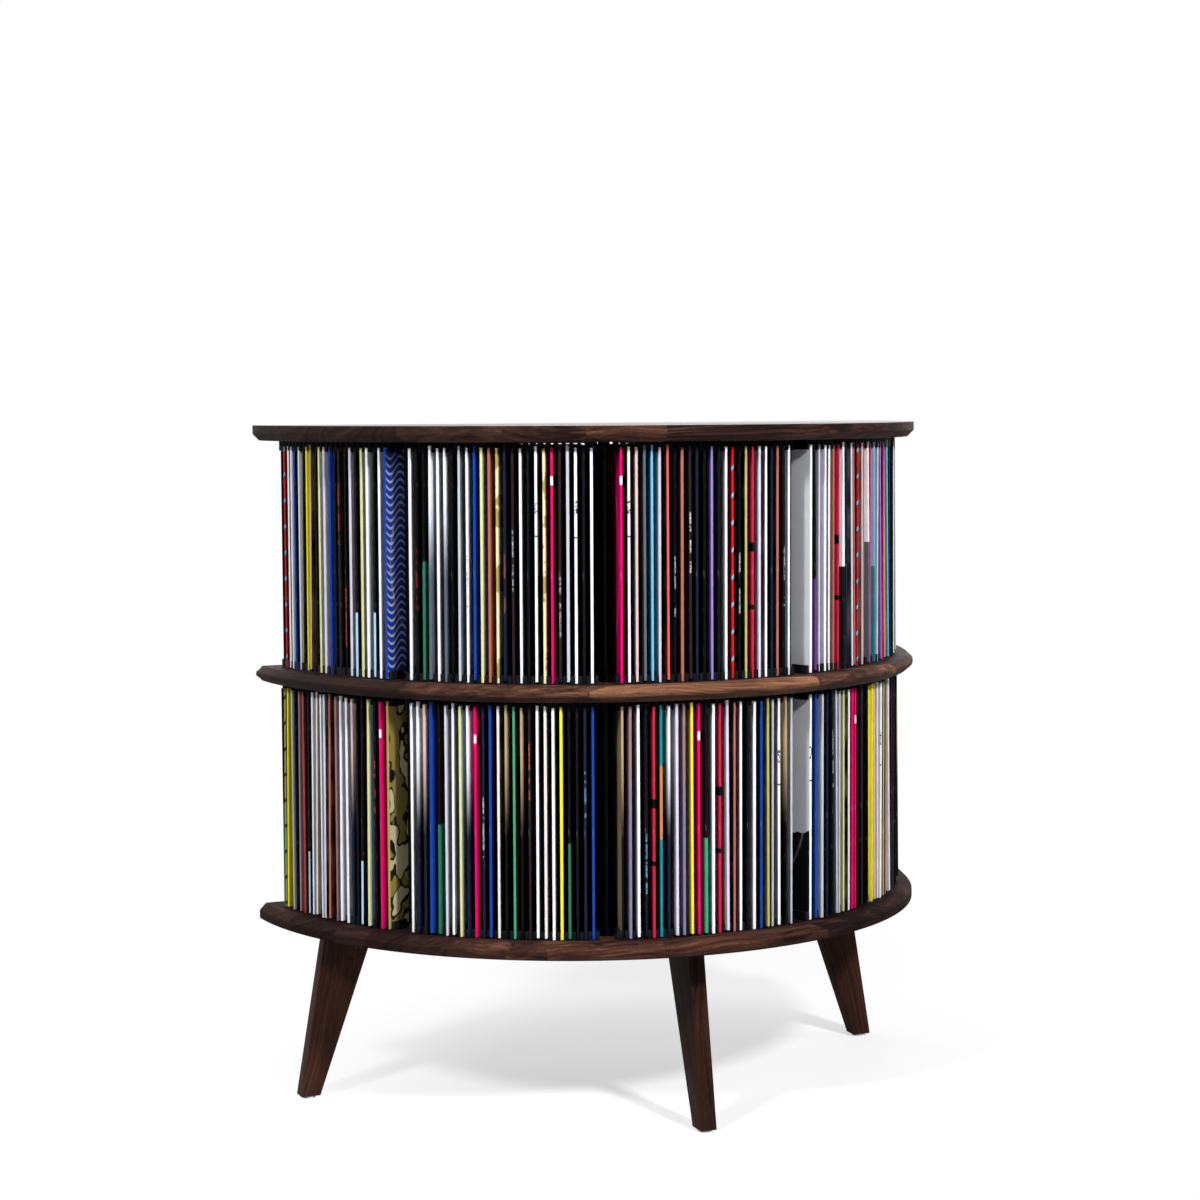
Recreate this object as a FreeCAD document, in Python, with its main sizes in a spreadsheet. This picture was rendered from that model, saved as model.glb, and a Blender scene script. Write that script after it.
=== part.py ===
"""Half-round rack for standing records.

Three D-shaped shelves stand on three splayed legs. Each tier holds five fans of
sleeves, spines out, in slotted combs on its floor and its ceiling. Thin dividers
stand between the fans, end panels close the ends of the flat back, and a
half-round core wall stops the sleeves at their inner edges.

Angles around the rack run from the left end of the back (0), through the front
(90), to the right end (180), about the centre of the shelves' front arc.
"""
import FreeCAD, Part
import os
import Sketcher

doc = FreeCAD.newDocument("record_rack")

# Driving dimensions, in millimetres and degrees
SIZES = (
    ("shelf_radius", 506.5, "arc of the shelves' front edge"),
    ("back_offset", 12, "flat back, in front of the arc's centre"),
    ("shelf_thick", 22, "board of a shelf"),
    ("edge_nose", 3, "upright strip between the bevels of a shelf's front edge"),
    ("sleeve_size", 315, "side of a record sleeve"),
    ("sleeve_thick", 3.2, "sleeve with its record"),
    ("sleeve_setback", 26, "spines behind the shelf's front edge"),
    ("sleeve_spacing", 0.45, "least space between sleeves at their inner edges"),
    ("rest_clearance", 0.3, "sleeve over the floor of its comb"),
    ("head_clearance", 5.7, "sleeve under the strip of the comb over it"),
    ("sector_angle", 35.2, "one fan of sleeves with its gap"),
    ("group_gap", 39.5, "distance between the end spines of two fans, middle to middle"),
    ("end_clearance", 0.6, "end sleeve in front of the end panel"),
    ("empty_slots", 8, "slots left free at the right end of a tier"),
    ("comb_depth", 28, "comb, along the sleeves"),
    ("comb_setback", 2, "comb behind the spines"),
    ("comb_base", 1.5, "strip that carries the tabs"),
    ("floor_tab", 10.5, "height of a floor comb's tabs"),
    ("ceiling_tab", 12.5, "height of a ceiling comb's tabs"),
    ("slot_clearance", 2.3, "play of a sleeve in its slot"),
    ("divider_thick", 4, "divider panel"),
    ("divider_setback", 22, "divider behind the spines"),
    ("divider_core_gap", 1, "divider in front of the core wall"),
    ("holder_diameter", 16, "round holder of a divider"),
    ("holder_height", 10.5, "holder over the shelf"),
    ("holder_slot_depth", 6, "slot that takes the divider's edge"),
    ("holder_edge", 14, "front holder's axis behind the divider's front edge"),
    ("holder_side_gap", 1, "rear holder beside the nearest sleeves"),
    ("slot_fit", 0.1, "play of a divider in a holder, each side"),
    ("spigot_diameter", 6, "peg under a holder"),
    ("spigot_length", 8, "peg in the shelf"),
    ("bore_fit", 0.1, "play around a peg or a screw, each side"),
    ("bore_floor", 0.5, "bore beyond the end of a peg or a screw"),
    ("core_gap", 3, "core wall behind the sleeves' inner edges"),
    ("core_wall", 3, "sheet of the core wall"),
    ("core_head_gap", 10, "core wall below the shelf over it"),
    ("core_end_inset", 0.5, "ends of the core wall in front of the back"),
    ("groove_depth", 4, "groove that takes the core wall's foot"),
    ("groove_fit", 0.15, "play of the core wall in its groove, each side"),
    ("panel_thick", 4, "end panel"),
    ("panel_core_gap", 2, "end panel beside the core wall"),
    ("rebate_height", 8, "rebate that takes an end panel's edge"),
    ("rebate_fit", 0.2, "play of an end panel in its rebates"),
    ("end_screw_inset", 26, "end panel's screws from its side edges"),
    ("end_screw_head", 7, "diameter of an end panel screw's head"),
    ("end_screw_head_height", 2, "head, sunk in the panel"),
    ("end_screw_shank", 3.5, "diameter of an end panel screw"),
    ("end_screw_length", 16, "end panel screw with its head"),
    ("leg_height", 254, "leg between its glide and the bottom shelf"),
    ("leg_thick", 24, "board of a leg"),
    ("leg_top_width", 77, "leg at the shelf"),
    ("leg_foot_width", 29, "leg at the floor"),
    ("leg_inset", 83, "outer edge of a leg's top behind the shelf's front edge"),
    ("leg_splay", 42.5, "foot's outer edge beyond that of the top"),
    ("side_leg_inset", 52, "middle of a side leg in front of the back"),
    ("leg_screw_spacing", 32, "two screws of a leg"),
    ("leg_screw_shank", 6, "diameter of a leg screw"),
    ("leg_screw_head", 12, "diameter of a leg screw's head"),
    ("leg_screw_head_height", 4, "head, sunk in the shelf"),
    ("leg_screw_grip", 45, "leg screw in its leg"),
    ("glide_diameter", 20, "pad under a foot"),
    ("glide_thick", 3, "pad under a foot"),
)

# Values that follow from the driving dimensions
DERIVED = (
    ("centre_y", "=(Sizes.shelf_radius + Sizes.back_offset) / 2", "arc's centre behind the origin"),
    ("edge_bevel", "=(Sizes.shelf_thick - Sizes.edge_nose) / 2", "bevel of a front edge, each way"),
    ("sleeve_foot", "=Sizes.comb_base + Sizes.rest_clearance", "sleeve over the floor of its tier"),
    ("sleeve_head", "=sleeve_foot + Sizes.sleeve_size", "top of a sleeve in its tier"),
    ("bay_height", "=sleeve_head + Sizes.head_clearance + Sizes.comb_base", "clear height of a tier"),
    ("sleeve_outer", "=Sizes.shelf_radius - Sizes.sleeve_setback", "radius of the spines"),
    ("sleeve_inner", "=sleeve_outer - Sizes.sleeve_size", "radius of the sleeves' inner edges"),
    ("sleeve_step", "=Sizes.sleeve_thick + Sizes.sleeve_spacing", "least distance between inner edges"),
    ("least_pitch", "=sleeve_step / sleeve_inner * 180 / pi", "least angle between slots"),
    ("gap_angle", "=Sizes.group_gap / sleeve_outer * 180 / pi", "angle between two fans"),
    ("half_gap", "=gap_angle / 2", "divider to the next sleeve"),
    ("fan_angle", "=Sizes.sector_angle - gap_angle", "first slot to last slot of a whole fan"),
    ("slots", "=floor(fan_angle / least_pitch) + 1", "slots of a whole fan"),
    ("slot_pitch", "=fan_angle / (slots - 1)", "angle between the slots of a whole fan"),
    ("panel_front", "=Sizes.back_offset + Sizes.panel_thick", "front face of an end panel"),
    ("end_reach", "=panel_front + Sizes.sleeve_thick / 2 + Sizes.end_clearance", "end sleeve's inner edge"),
    ("end_angle", "=asin(end_reach / sleeve_inner) / 1 deg", "slot beside an end panel"),
    ("end_fan_angle", "=90 - 1.5 * Sizes.sector_angle - half_gap - end_angle", "angle of an end fan"),
    ("end_slots", "=floor(end_fan_angle / least_pitch) + 1", "slots of an end fan"),
    ("end_pitch", "=end_fan_angle / (end_slots - 1)", "angle between the slots of an end fan"),
    ("free_slots", "=round(Sizes.empty_slots)", "whole slots left free"),
    ("comb_outer", "=sleeve_outer - Sizes.comb_setback", "front of the combs"),
    ("comb_inner", "=comb_outer - Sizes.comb_depth", "rear of the combs"),
    ("slot_width", "=Sizes.sleeve_thick + Sizes.slot_clearance", "slot at the middle of a comb"),
    ("slot_angle", "=slot_width / (comb_outer + comb_inner) * 360 / pi", "angle of a slot"),
    ("core_outer", "=sleeve_inner - Sizes.core_gap", "outside of the core wall"),
    ("core_inner", "=core_outer - Sizes.core_wall", "inside of the core wall"),
    ("core_back", "=Sizes.back_offset + Sizes.core_end_inset", "end of the core wall, from the arc's centre"),
    ("core_end", "=asin(core_back / core_inner) / 1 deg", "angle of the core wall's end"),
    ("divider_outer", "=sleeve_outer - Sizes.divider_setback", "front edge of the dividers"),
    ("divider_inner", "=core_outer + Sizes.divider_core_gap", "rear edge of the dividers"),
    ("divider_lift", "=Sizes.holder_height - Sizes.holder_slot_depth", "divider over the shelf"),
    ("holder_front", "=divider_outer - Sizes.holder_edge", "axis of a front holder"),
    ("holder_half", "=(Sizes.holder_diameter + Sizes.sleeve_thick) / 2", "holder that touches a sleeve"),
    ("holder_beside", "=(holder_half + Sizes.holder_side_gap) / sin(half_gap * 1 deg)", "nearest axis"),
    ("holder_rear", "=max(holder_beside; divider_inner + Sizes.holder_edge)", "axis of a rear holder"),
    ("panel_inner", "=core_outer + Sizes.panel_core_gap", "inner edge of an end panel"),
    ("panel_outer", "=divider_outer", "outer edge of an end panel"),
    ("panel_screw_inner", "=panel_inner + Sizes.end_screw_inset", "inner screws of an end panel"),
    ("panel_screw_outer", "=panel_outer - Sizes.end_screw_inset", "outer screws of an end panel"),
    ("leg_reach", "=Sizes.shelf_radius - Sizes.leg_inset", "outer edge of a leg's top"),
    ("leg_top_mid", "=leg_reach - Sizes.leg_top_width / 2", "middle of a leg's top"),
    ("foot_reach", "=leg_reach + Sizes.leg_splay", "outer edge of a foot"),
    ("foot_mid", "=foot_reach - Sizes.leg_foot_width / 2", "middle of a foot"),
    ("leg_lean", "=(foot_mid - leg_top_mid) / Sizes.leg_height", "lean of a leg's middle line"),
    ("leg_screw_mid", "=leg_top_mid + leg_lean * Sizes.leg_screw_grip / 2", "between a leg's two screws"),
    ("leg_screw_inner", "=leg_screw_mid - Sizes.leg_screw_spacing / 2", "inner screw of a leg"),
    ("leg_screw_outer", "=leg_screw_mid + Sizes.leg_screw_spacing / 2", "outer screw of a leg"),
    ("side_leg_y", "=Sizes.back_offset + Sizes.side_leg_inset", "side leg in front of the arc's centre"),
    ("bottom_level", "=Sizes.glide_thick + Sizes.leg_height", "underside of the bottom shelf"),
    ("lower_floor", "=bottom_level + Sizes.shelf_thick", "floor of the lower tier"),
    ("middle_level", "=lower_floor + bay_height", "underside of the middle shelf"),
    ("upper_floor", "=middle_level + Sizes.shelf_thick", "floor of the upper tier"),
    ("top_level", "=upper_floor + bay_height", "underside of the top shelf"),
)


def fill_sheet(name, rows):
    """Write one row for each value: its name, the value and what it measures."""
    sheet = doc.addObject("Spreadsheet::Sheet", name)
    for row, (alias, value, note) in enumerate(rows, start=1):
        sheet.set(f"A{row}", alias)
        sheet.set(f"B{row}", str(value))
        sheet.setAlias(f"B{row}", alias)
        sheet.set(f"C{row}", note)
    doc.recompute()
    return sheet


fill_sheet("Sizes", SIZES)
derived = fill_sheet("Derived", DERIVED)

nodes = []


def origin_feature(body, role):
    """The plane or axis of a body's own origin."""
    return next(feature for feature in body.Origin.OriginFeatures if feature.Role == role)


def new_body(label, is_node=True):
    """An empty body, which may hold several separate solids."""
    body = doc.addObject("PartDesign::Body", label)
    body.Label = label
    body.AllowCompound = True
    if is_node:
        nodes.append(body)
    return body


def place(body, level, angle="0", forward="0"):
    """Stand a body at a level, turned about the arc's centre or a point in front of it."""
    body.Placement = FreeCAD.Placement(FreeCAD.Vector(), FreeCAD.Rotation(FreeCAD.Vector(0, 0, 1), 0))
    body.setExpression("Placement.Base.y", f"Derived.centre_y - ({forward})")
    body.setExpression("Placement.Base.z", level)
    body.setExpression("Placement.Rotation.Angle", f"({angle}) * 1 deg")


def new_sketch(body, name, role, lift):
    """An empty sketch on one of the body's planes, moved along the plane's normal."""
    sketch = body.newObject("Sketcher::SketchObject", name)
    sketch.AttachmentSupport = [(origin_feature(body, role), "")]
    sketch.MapMode = "FlatFace"
    sketch.setExpression("AttachmentOffset.Base.z", lift)
    return sketch


def spot(sketch, x, y):
    """Where two expressions put a point of the sketch now."""
    return FreeCAD.Vector(float(sketch.evalExpression(x)), float(sketch.evalExpression(y)), 0)


def fix_point(sketch, geometry, point, x, y):
    """Bind a point of the sketch to two expressions."""
    for kind, text in (("DistanceX", x), ("DistanceY", y)):
        value = float(sketch.evalExpression(text))
        index = sketch.addConstraint(Sketcher.Constraint(kind, -1, 1, geometry, point, value))
        sketch.setExpression(f"Constraints[{index}]", text)


def polygons(body, name, role, outlines, lift="0"):
    """A sketch of closed outlines, each a list of corners given as two expressions."""
    sketch = new_sketch(body, name, role, lift)
    for corners in outlines:
        spots = [spot(sketch, x, y) for x, y in corners]
        ends = spots[1:] + spots[:1]
        lines = [sketch.addGeometry(Part.LineSegment(a, b)) for a, b in zip(spots, ends)]
        for line, following in zip(lines, lines[1:] + lines[:1]):
            sketch.addConstraint(Sketcher.Constraint("Coincident", line, 2, following, 1))
        for line, (x, y) in zip(lines, corners):
            fix_point(sketch, line, 1, x, y)
    return sketch


def circles(body, name, role, rounds, lift="0"):
    """A sketch of circles, each given as two expressions for its centre and one for its diameter."""
    sketch = new_sketch(body, name, role, lift)
    for x, y, diameter in rounds:
        size = float(sketch.evalExpression(diameter))
        circle = sketch.addGeometry(Part.Circle(spot(sketch, x, y), FreeCAD.Vector(0, 0, 1), size / 2))
        fix_point(sketch, circle, 3, x, y)
        index = sketch.addConstraint(Sketcher.Constraint("Diameter", circle, size))
        sketch.setExpression(f"Constraints[{index}]", diameter)
    return sketch


def rectangle(x0, x1, y0, y1):
    """Corners of an upright rectangle."""
    return [(x0, y0), (x1, y0), (x1, y1), (x0, y1)]


def pad(body, sketch, length, backward=False, symmetric=False):
    """Thicken a sketch along its normal, against it, or to both sides."""
    feature = body.newObject("PartDesign::Pad", f"{sketch.Name}_pad")
    feature.Profile = sketch
    feature.Reversed = backward
    feature.SideType = "Symmetric" if symmetric else "One side"
    feature.setExpression("Length", length)
    return feature


def pocket(body, sketch, depth, forward=False):
    """Cut a sketch's outlines out of the body, against its normal or along it."""
    doc.recompute()
    before = body.Shape.Volume
    feature = body.newObject("PartDesign::Pocket", f"{sketch.Name}_cut")
    feature.Profile = sketch
    feature.Reversed = forward
    feature.setExpression("Length", depth)
    doc.recompute()
    if not body.Shape.Volume < before:
        raise RuntimeError(f"{feature.Name} cuts nothing")
    return feature


def turn(body, sketch, angle):
    """Turn a profile about the upright axis."""
    feature = body.newObject("PartDesign::Revolution", f"{sketch.Name}_turn")
    feature.Profile = sketch
    feature.ReferenceAxis = (sketch, ["V_Axis"])
    feature.setExpression("Angle", angle)
    return feature


def fan(body, features, angle, count):
    """Repeat features about the upright axis over an angle."""
    doc.recompute()
    pattern = body.newObject("PartDesign::PolarPattern", f"{features[0].Name}_fan")
    pattern.Originals = features
    pattern.Axis = (origin_feature(body, "Z_Axis"), [""])
    pattern.setExpression("Angle", angle)
    pattern.setExpression("Occurrences", count)
    body.Tip = pattern
    return pattern


def compass(angle):
    """Angle about the upright axis, from +X, of an angle around the rack."""
    return f"180 + ({angle})"


def polar(radius, angle):
    """Expressions for a point at a radius and an angle around the rack."""
    turned = f"({compass(angle)}) * 1 deg"
    return f"({radius}) * cos({turned})", f"({radius}) * sin({turned})"


DIVIDERS = range(1, 5)
SECTORS = range(1, 6)
TIERS = {"upper": "Derived.upper_floor", "lower": "Derived.lower_floor"}
SIDES = {"left": -1, "right": 1}


def divider_angle(number):
    """Angle of a divider around the rack, counted from the left."""
    return f"90 + ({number} - 2.5) * Sizes.sector_angle"


def panel_screw_places(height):
    """Centres of the end panel screws, left and right, at one height."""
    radii = ("Derived.panel_screw_inner", "Derived.panel_screw_outer")
    return [(f"{side} * {radius}", height) for side in SIDES.values() for radius in radii]


def leg_screw_places():
    """Centres of the leg screws in the plan, from the arc's centre."""
    radii = ("Derived.leg_screw_inner", "Derived.leg_screw_outer")
    sides = [(f"{side} * {radius}", "-Derived.side_leg_y") for side in SIDES.values() for radius in radii]
    return sides + [("0", f"-{radius}") for radius in radii]


def make_shelf(label, level, floor_above, ceiling_below):
    """A D-shaped shelf, with the seats of the pieces that stand on it or hang under it.

    The front edge is bevelled towards each tier that the shelf faces.
    """
    body = new_body(label)
    rim = "Sizes.shelf_radius"
    rim_in = "Sizes.shelf_radius - Derived.edge_bevel"
    lower_rim = [(rim_in, "0"), (rim, "Derived.edge_bevel")] if ceiling_below else [(rim, "0")]
    upper_rim = [(rim, "Sizes.shelf_thick - Derived.edge_bevel"), (rim_in, "Sizes.shelf_thick")]
    upper_rim = upper_rim if floor_above else [(rim, "Sizes.shelf_thick")]
    section = [("0", "0")] + lower_rim + upper_rim + [("0", "Sizes.shelf_thick")]
    turn(body, polygons(body, f"{label}_section", "XZ_Plane", [section]), "360")
    beyond = "2 * Sizes.shelf_radius"
    behind = rectangle(f"-{beyond}", beyond, "-Sizes.back_offset", beyond)
    pocket(body, polygons(body, f"{label}_back", "XY_Plane", [behind]), "Sizes.shelf_thick", forward=True)
    faces = []
    if floor_above:
        faces.append(("upper", "Sizes.shelf_thick", False, "Sizes.shelf_thick - Sizes.rebate_height / 2"))
    if ceiling_below:
        faces.append(("lower", "0", True, "Sizes.rebate_height / 2"))
    for face, lift, upward, screw_height in faces:
        cut_panel_seats(body, f"{label}_{face}", lift, upward, screw_height)
        cut_holder_bores(body, f"{label}_{face}", lift, upward)
    if floor_above:
        cut_core_groove(body, label)
    place(body, level)
    return body


def cut_panel_seats(body, name, lift, upward, screw_height):
    """Rebates for the end panels' edges, and the holes of their screws."""
    depth = ("-Derived.panel_front - Sizes.rebate_fit", "0")
    seats = []
    for side in SIDES.values():
        inner = f"{side} * (Derived.panel_inner - Sizes.rebate_fit)"
        outer = f"{side} * (Derived.panel_outer + Sizes.rebate_fit)"
        seats.append(rectangle(inner, outer, *depth))
    sketch = polygons(body, f"{name}_rebates", "XY_Plane", seats, lift)
    pocket(body, sketch, "Sizes.rebate_height", forward=upward)
    hole = "Sizes.end_screw_shank + 2 * Sizes.bore_fit"
    rounds = [(x, z, hole) for x, z in panel_screw_places(screw_height)]
    sketch = circles(body, f"{name}_panel_holes", "XZ_Plane", rounds, "Derived.panel_front")
    pocket(body, sketch, "Sizes.end_screw_length - Sizes.panel_thick + Sizes.bore_floor", forward=True)


def cut_holder_bores(body, name, lift, upward):
    """Bores for the pegs of the divider holders."""
    bore = "Sizes.spigot_diameter + 2 * Sizes.bore_fit"
    radii = ("Derived.holder_front", "Derived.holder_rear")
    rounds = [(*polar(radius, divider_angle(number)), bore) for number in DIVIDERS for radius in radii]
    sketch = circles(body, f"{name}_holder_bores", "XY_Plane", rounds, lift)
    pocket(body, sketch, "Sizes.spigot_length + Sizes.bore_floor", forward=upward)


def cut_core_groove(body, name):
    """Half-round groove for the foot of the core wall."""
    walls = ("2 * (Derived.core_outer + Sizes.groove_fit)", "2 * (Derived.core_inner - Sizes.groove_fit)")
    rounds = [("0", "0", wall) for wall in walls]
    sketch = circles(body, f"{name}_groove", "XY_Plane", rounds, "Sizes.shelf_thick")
    pocket(body, sketch, "Sizes.groove_depth")


def cut_leg_screw_holes(body):
    """Through holes for the leg screws, with sunk seats for their heads."""
    lift = "Sizes.shelf_thick"
    for part, diameter, depth in (
        ("shank", "Sizes.leg_screw_shank + 2 * Sizes.bore_fit", "Sizes.shelf_thick"),
        ("head", "Sizes.leg_screw_head + 2 * Sizes.bore_fit", "Sizes.leg_screw_head_height"),
    ):
        rounds = [(x, y, diameter) for x, y in leg_screw_places()]
        pocket(body, circles(body, f"{body.Name}_{part}_holes", "XY_Plane", rounds, lift), depth)


def make_leg(label, angle, forward):
    """A tapered board that splays outwards, with holes for its two screws."""
    body = new_body(label)
    side = [
        ("Derived.leg_reach - Sizes.leg_top_width", "Sizes.leg_height"),
        ("Derived.foot_reach - Sizes.leg_foot_width", "0"),
        ("Derived.foot_reach", "0"),
        ("Derived.leg_reach", "Sizes.leg_height"),
    ]
    pad(body, polygons(body, f"{label}_side", "XZ_Plane", [side]), "Sizes.leg_thick", symmetric=True)
    hole = "Sizes.leg_screw_shank + 2 * Sizes.bore_fit"
    rounds = [(radius, "0", hole) for radius in ("Derived.leg_screw_inner", "Derived.leg_screw_outer")]
    sketch = circles(body, f"{label}_holes", "XY_Plane", rounds, "Sizes.leg_height")
    pocket(body, sketch, "Sizes.leg_screw_grip + Sizes.bore_floor")
    place(body, "Sizes.glide_thick", angle, forward)


def make_glides():
    """A round pad under each foot."""
    body = new_body("foot_glides")
    spots = [(f"{side} * Derived.foot_mid", "-Derived.side_leg_y") for side in SIDES.values()]
    spots.append(("0", "-Derived.foot_mid"))
    rounds = [(x, y, "Sizes.glide_diameter") for x, y in spots]
    pad(body, circles(body, "glide_rounds", "XY_Plane", rounds), "Sizes.glide_thick")
    place(body, "0")


def make_leg_screws():
    """Long screws, down through the bottom shelf into the legs."""
    body = new_body("leg_screws")
    for part, diameter, length in (
        ("head", "Sizes.leg_screw_head", "Sizes.leg_screw_head_height"),
        ("shank", "Sizes.leg_screw_shank", "Sizes.shelf_thick + Sizes.leg_screw_grip"),
    ):
        rounds = [(x, y, diameter) for x, y in leg_screw_places()]
        pad(body, circles(body, f"leg_screw_{part}s", "XY_Plane", rounds), length, backward=True)
    place(body, "Derived.lower_floor")


def make_end_panel(label, level, side):
    """A panel at one end of the flat back, with sunk seats for its screws."""
    body = new_body(label)
    foot = "Sizes.rebate_fit - Sizes.rebate_height"
    head = "Derived.bay_height + Sizes.rebate_height - Sizes.rebate_fit"
    face = rectangle(f"{side} * Derived.panel_inner", f"{side} * Derived.panel_outer", foot, head)
    pad(body, polygons(body, f"{label}_face", "XZ_Plane", [face], "Sizes.back_offset"), "Sizes.panel_thick")
    radii = ("Derived.panel_screw_inner", "Derived.panel_screw_outer")
    heights = ("-Sizes.rebate_height / 2", "Derived.bay_height + Sizes.rebate_height / 2")
    for part, diameter, depth in (
        ("shank", "Sizes.end_screw_shank + 2 * Sizes.bore_fit", "Sizes.panel_thick"),
        ("head", "Sizes.end_screw_head + 2 * Sizes.bore_fit", "Sizes.end_screw_head_height"),
    ):
        rounds = [(f"{side} * {radius}", height, diameter) for radius in radii for height in heights]
        sketch = circles(body, f"{label}_{part}_holes", "XZ_Plane", rounds, "Sizes.back_offset")
        pocket(body, sketch, depth, forward=True)
    place(body, level)


def make_end_screws():
    """Screws from behind, through the end panels into the shelves."""
    body = new_body("end_panel_screws")
    heights = []
    for floor in TIERS.values():
        heights.append(f"{floor} - Sizes.rebate_height / 2")
        heights.append(f"{floor} + Derived.bay_height + Sizes.rebate_height / 2")
    places = [place_of for height in heights for place_of in panel_screw_places(height)]
    for part, diameter, length in (
        ("head", "Sizes.end_screw_head", "Sizes.end_screw_head_height"),
        ("shank", "Sizes.end_screw_shank", "Sizes.end_screw_length"),
    ):
        rounds = [(x, z, diameter) for x, z in places]
        pad(body, circles(body, f"end_screw_{part}s", "XZ_Plane", rounds, "Sizes.back_offset"), length)
    place(body, "0")


def make_divider(label, level, angle):
    """A thin upright panel between two fans of sleeves."""
    body = new_body(label)
    head = "Derived.bay_height - Derived.divider_lift"
    face = rectangle("Derived.divider_inner", "Derived.divider_outer", "Derived.divider_lift", head)
    pad(body, polygons(body, f"{label}_face", "XZ_Plane", [face]), "Sizes.divider_thick", symmetric=True)
    place(body, level, compass(angle))


def make_holders(label, level, hanging):
    """Slotted round holders with pegs, front and rear, for the edges of one tier's dividers."""
    body = new_body(label, is_node=False)
    axes = ("Derived.holder_front", "Derived.holder_rear")
    pucks = circles(body, f"{label}_pucks", "XY_Plane", [(x, "0", "Sizes.holder_diameter") for x in axes])
    pegs = circles(body, f"{label}_pegs", "XY_Plane", [(x, "0", "Sizes.spigot_diameter") for x in axes])
    solids = [
        pad(body, pucks, "Sizes.holder_height", backward=hanging),
        pad(body, pegs, "Sizes.spigot_length", backward=not hanging),
    ]
    half = "Sizes.divider_thick / 2 + Sizes.slot_fit"
    length = ("Derived.holder_rear - Sizes.holder_diameter", "Derived.holder_front + Sizes.holder_diameter")
    mouth = "-Sizes.holder_height" if hanging else "Sizes.holder_height"
    slot = polygons(body, f"{label}_slot", "XY_Plane", [rectangle(*length, f"-({half})", half)], mouth)
    solids.append(pocket(body, slot, "Sizes.holder_slot_depth", forward=hanging))
    fan(body, solids, "3 * Sizes.sector_angle", str(len(DIVIDERS)))
    place(body, level, compass(divider_angle(DIVIDERS[0])))
    return body


def make_core(label, level):
    """A half-round wall that stands in a groove and stops the sleeves."""
    body = new_body(label)
    head = "Derived.bay_height - Sizes.core_head_gap"
    wall = rectangle("Derived.core_inner", "Derived.core_outer", "-Sizes.groove_depth", head)
    turn(body, polygons(body, f"{label}_wall", "XZ_Plane", [wall]), "180 - 2 * Derived.core_end")
    place(body, level, compass("Derived.core_end"))


def is_end(sector):
    """Whether a sector lies beside an end panel."""
    return sector in (SECTORS[0], SECTORS[-1])


def pitch(sector):
    """Angle between the slots of a sector's fan."""
    return "Derived.end_pitch" if is_end(sector) else "Derived.slot_pitch"


def slot_count(sector):
    """Slots of a sector's fan."""
    return "Derived.end_slots" if is_end(sector) else "Derived.slots"


def first_slot(sector):
    """Angle of the first slot of a sector's fan."""
    if sector == SECTORS[0]:
        return "Derived.end_angle"
    return f"90 + ({sector} - 3.5) * Sizes.sector_angle + Derived.half_gap"


def make_comb(label, level, sector, hanging):
    """A strip with tabs that stand up from it or hang down, one slot for each sleeve."""
    body = new_body(label)
    sign = "-1 * " if hanging else ""
    tab = "Sizes.ceiling_tab" if hanging else "Sizes.floor_tab"
    heights = ("0", f"{sign}Sizes.comb_base", f"{sign}(Sizes.comb_base + {tab})")
    sections = []
    for part, low, high in (("strip", *heights[:2]), ("tab", *heights[1:])):
        section = rectangle("Derived.comb_inner", "Derived.comb_outer", low, high)
        sections.append(polygons(body, f"{label}_{part}", "XZ_Plane", [section]))
    count = slot_count(sector)
    step = pitch(sector)
    tab_angle = f"{step} - Derived.slot_angle"
    turn(body, sections[0], f"({count} + 1) * {step} - Derived.slot_angle")
    fan(body, [turn(body, sections[1], tab_angle)], f"{count} * {step}", f"{count} + 1")
    place(body, level, compass(f"{first_slot(sector)} - {step} + Derived.slot_angle / 2"))


def make_sleeves(label, level, angle, count="1", step="0"):
    """Record sleeves on edge, one or more, a step apart."""
    body = new_body(label)
    depth = ("Derived.sleeve_inner", "Derived.sleeve_outer")
    face = rectangle(*depth, "Derived.sleeve_foot", "Derived.sleeve_head")
    outline = polygons(body, f"{label}_face", "XZ_Plane", [face])
    sleeve = pad(body, outline, "Sizes.sleeve_thick", symmetric=True)
    if count != "1":
        fan(body, [sleeve], f"({count} - 1) * {step}", count)
    place(body, level, compass(angle))


# Tiers and sectors whose first or last sleeve, beside a gap, slides out by itself
LOOSE_FIRST = (("upper", 3), ("upper", 4), ("lower", 4))
LOOSE_LAST = (("upper", 1), ("lower", 1), ("lower", 2))


def make_sector_sleeves(tier, level, sector):
    """One fan of sleeves, with the loose sleeve at its edge as a piece of its own."""
    start = first_slot(sector)
    step = pitch(sector)
    count = slot_count(sector)
    loose = f"loose_record_{tier}_{sector}"
    if (tier, sector) in LOOSE_FIRST:
        make_sleeves(loose, level, start)
        start += f" + {step}"
        count += " - 1"
    if (tier, sector) in LOOSE_LAST:
        count += " - 1"
        make_sleeves(loose, level, f"{start} + ({count}) * {step}")
    if sector == SECTORS[-1]:
        count += " - Derived.free_slots"
    make_sleeves(f"records_{tier}_{sector}", level, start, f"({count})", step)


bottom_shelf = make_shelf("shelf_bottom", "Derived.bottom_level", floor_above=True, ceiling_below=False)
cut_leg_screw_holes(bottom_shelf)
make_shelf("shelf_middle", "Derived.middle_level", floor_above=True, ceiling_below=True)
make_shelf("shelf_top", "Derived.top_level", floor_above=False, ceiling_below=True)

make_leg("leg_left", "180", "Derived.side_leg_y")
make_leg("leg_right", "0", "Derived.side_leg_y")
make_leg("leg_front", "270", "0")
make_glides()
make_leg_screws()
make_end_screws()

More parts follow.
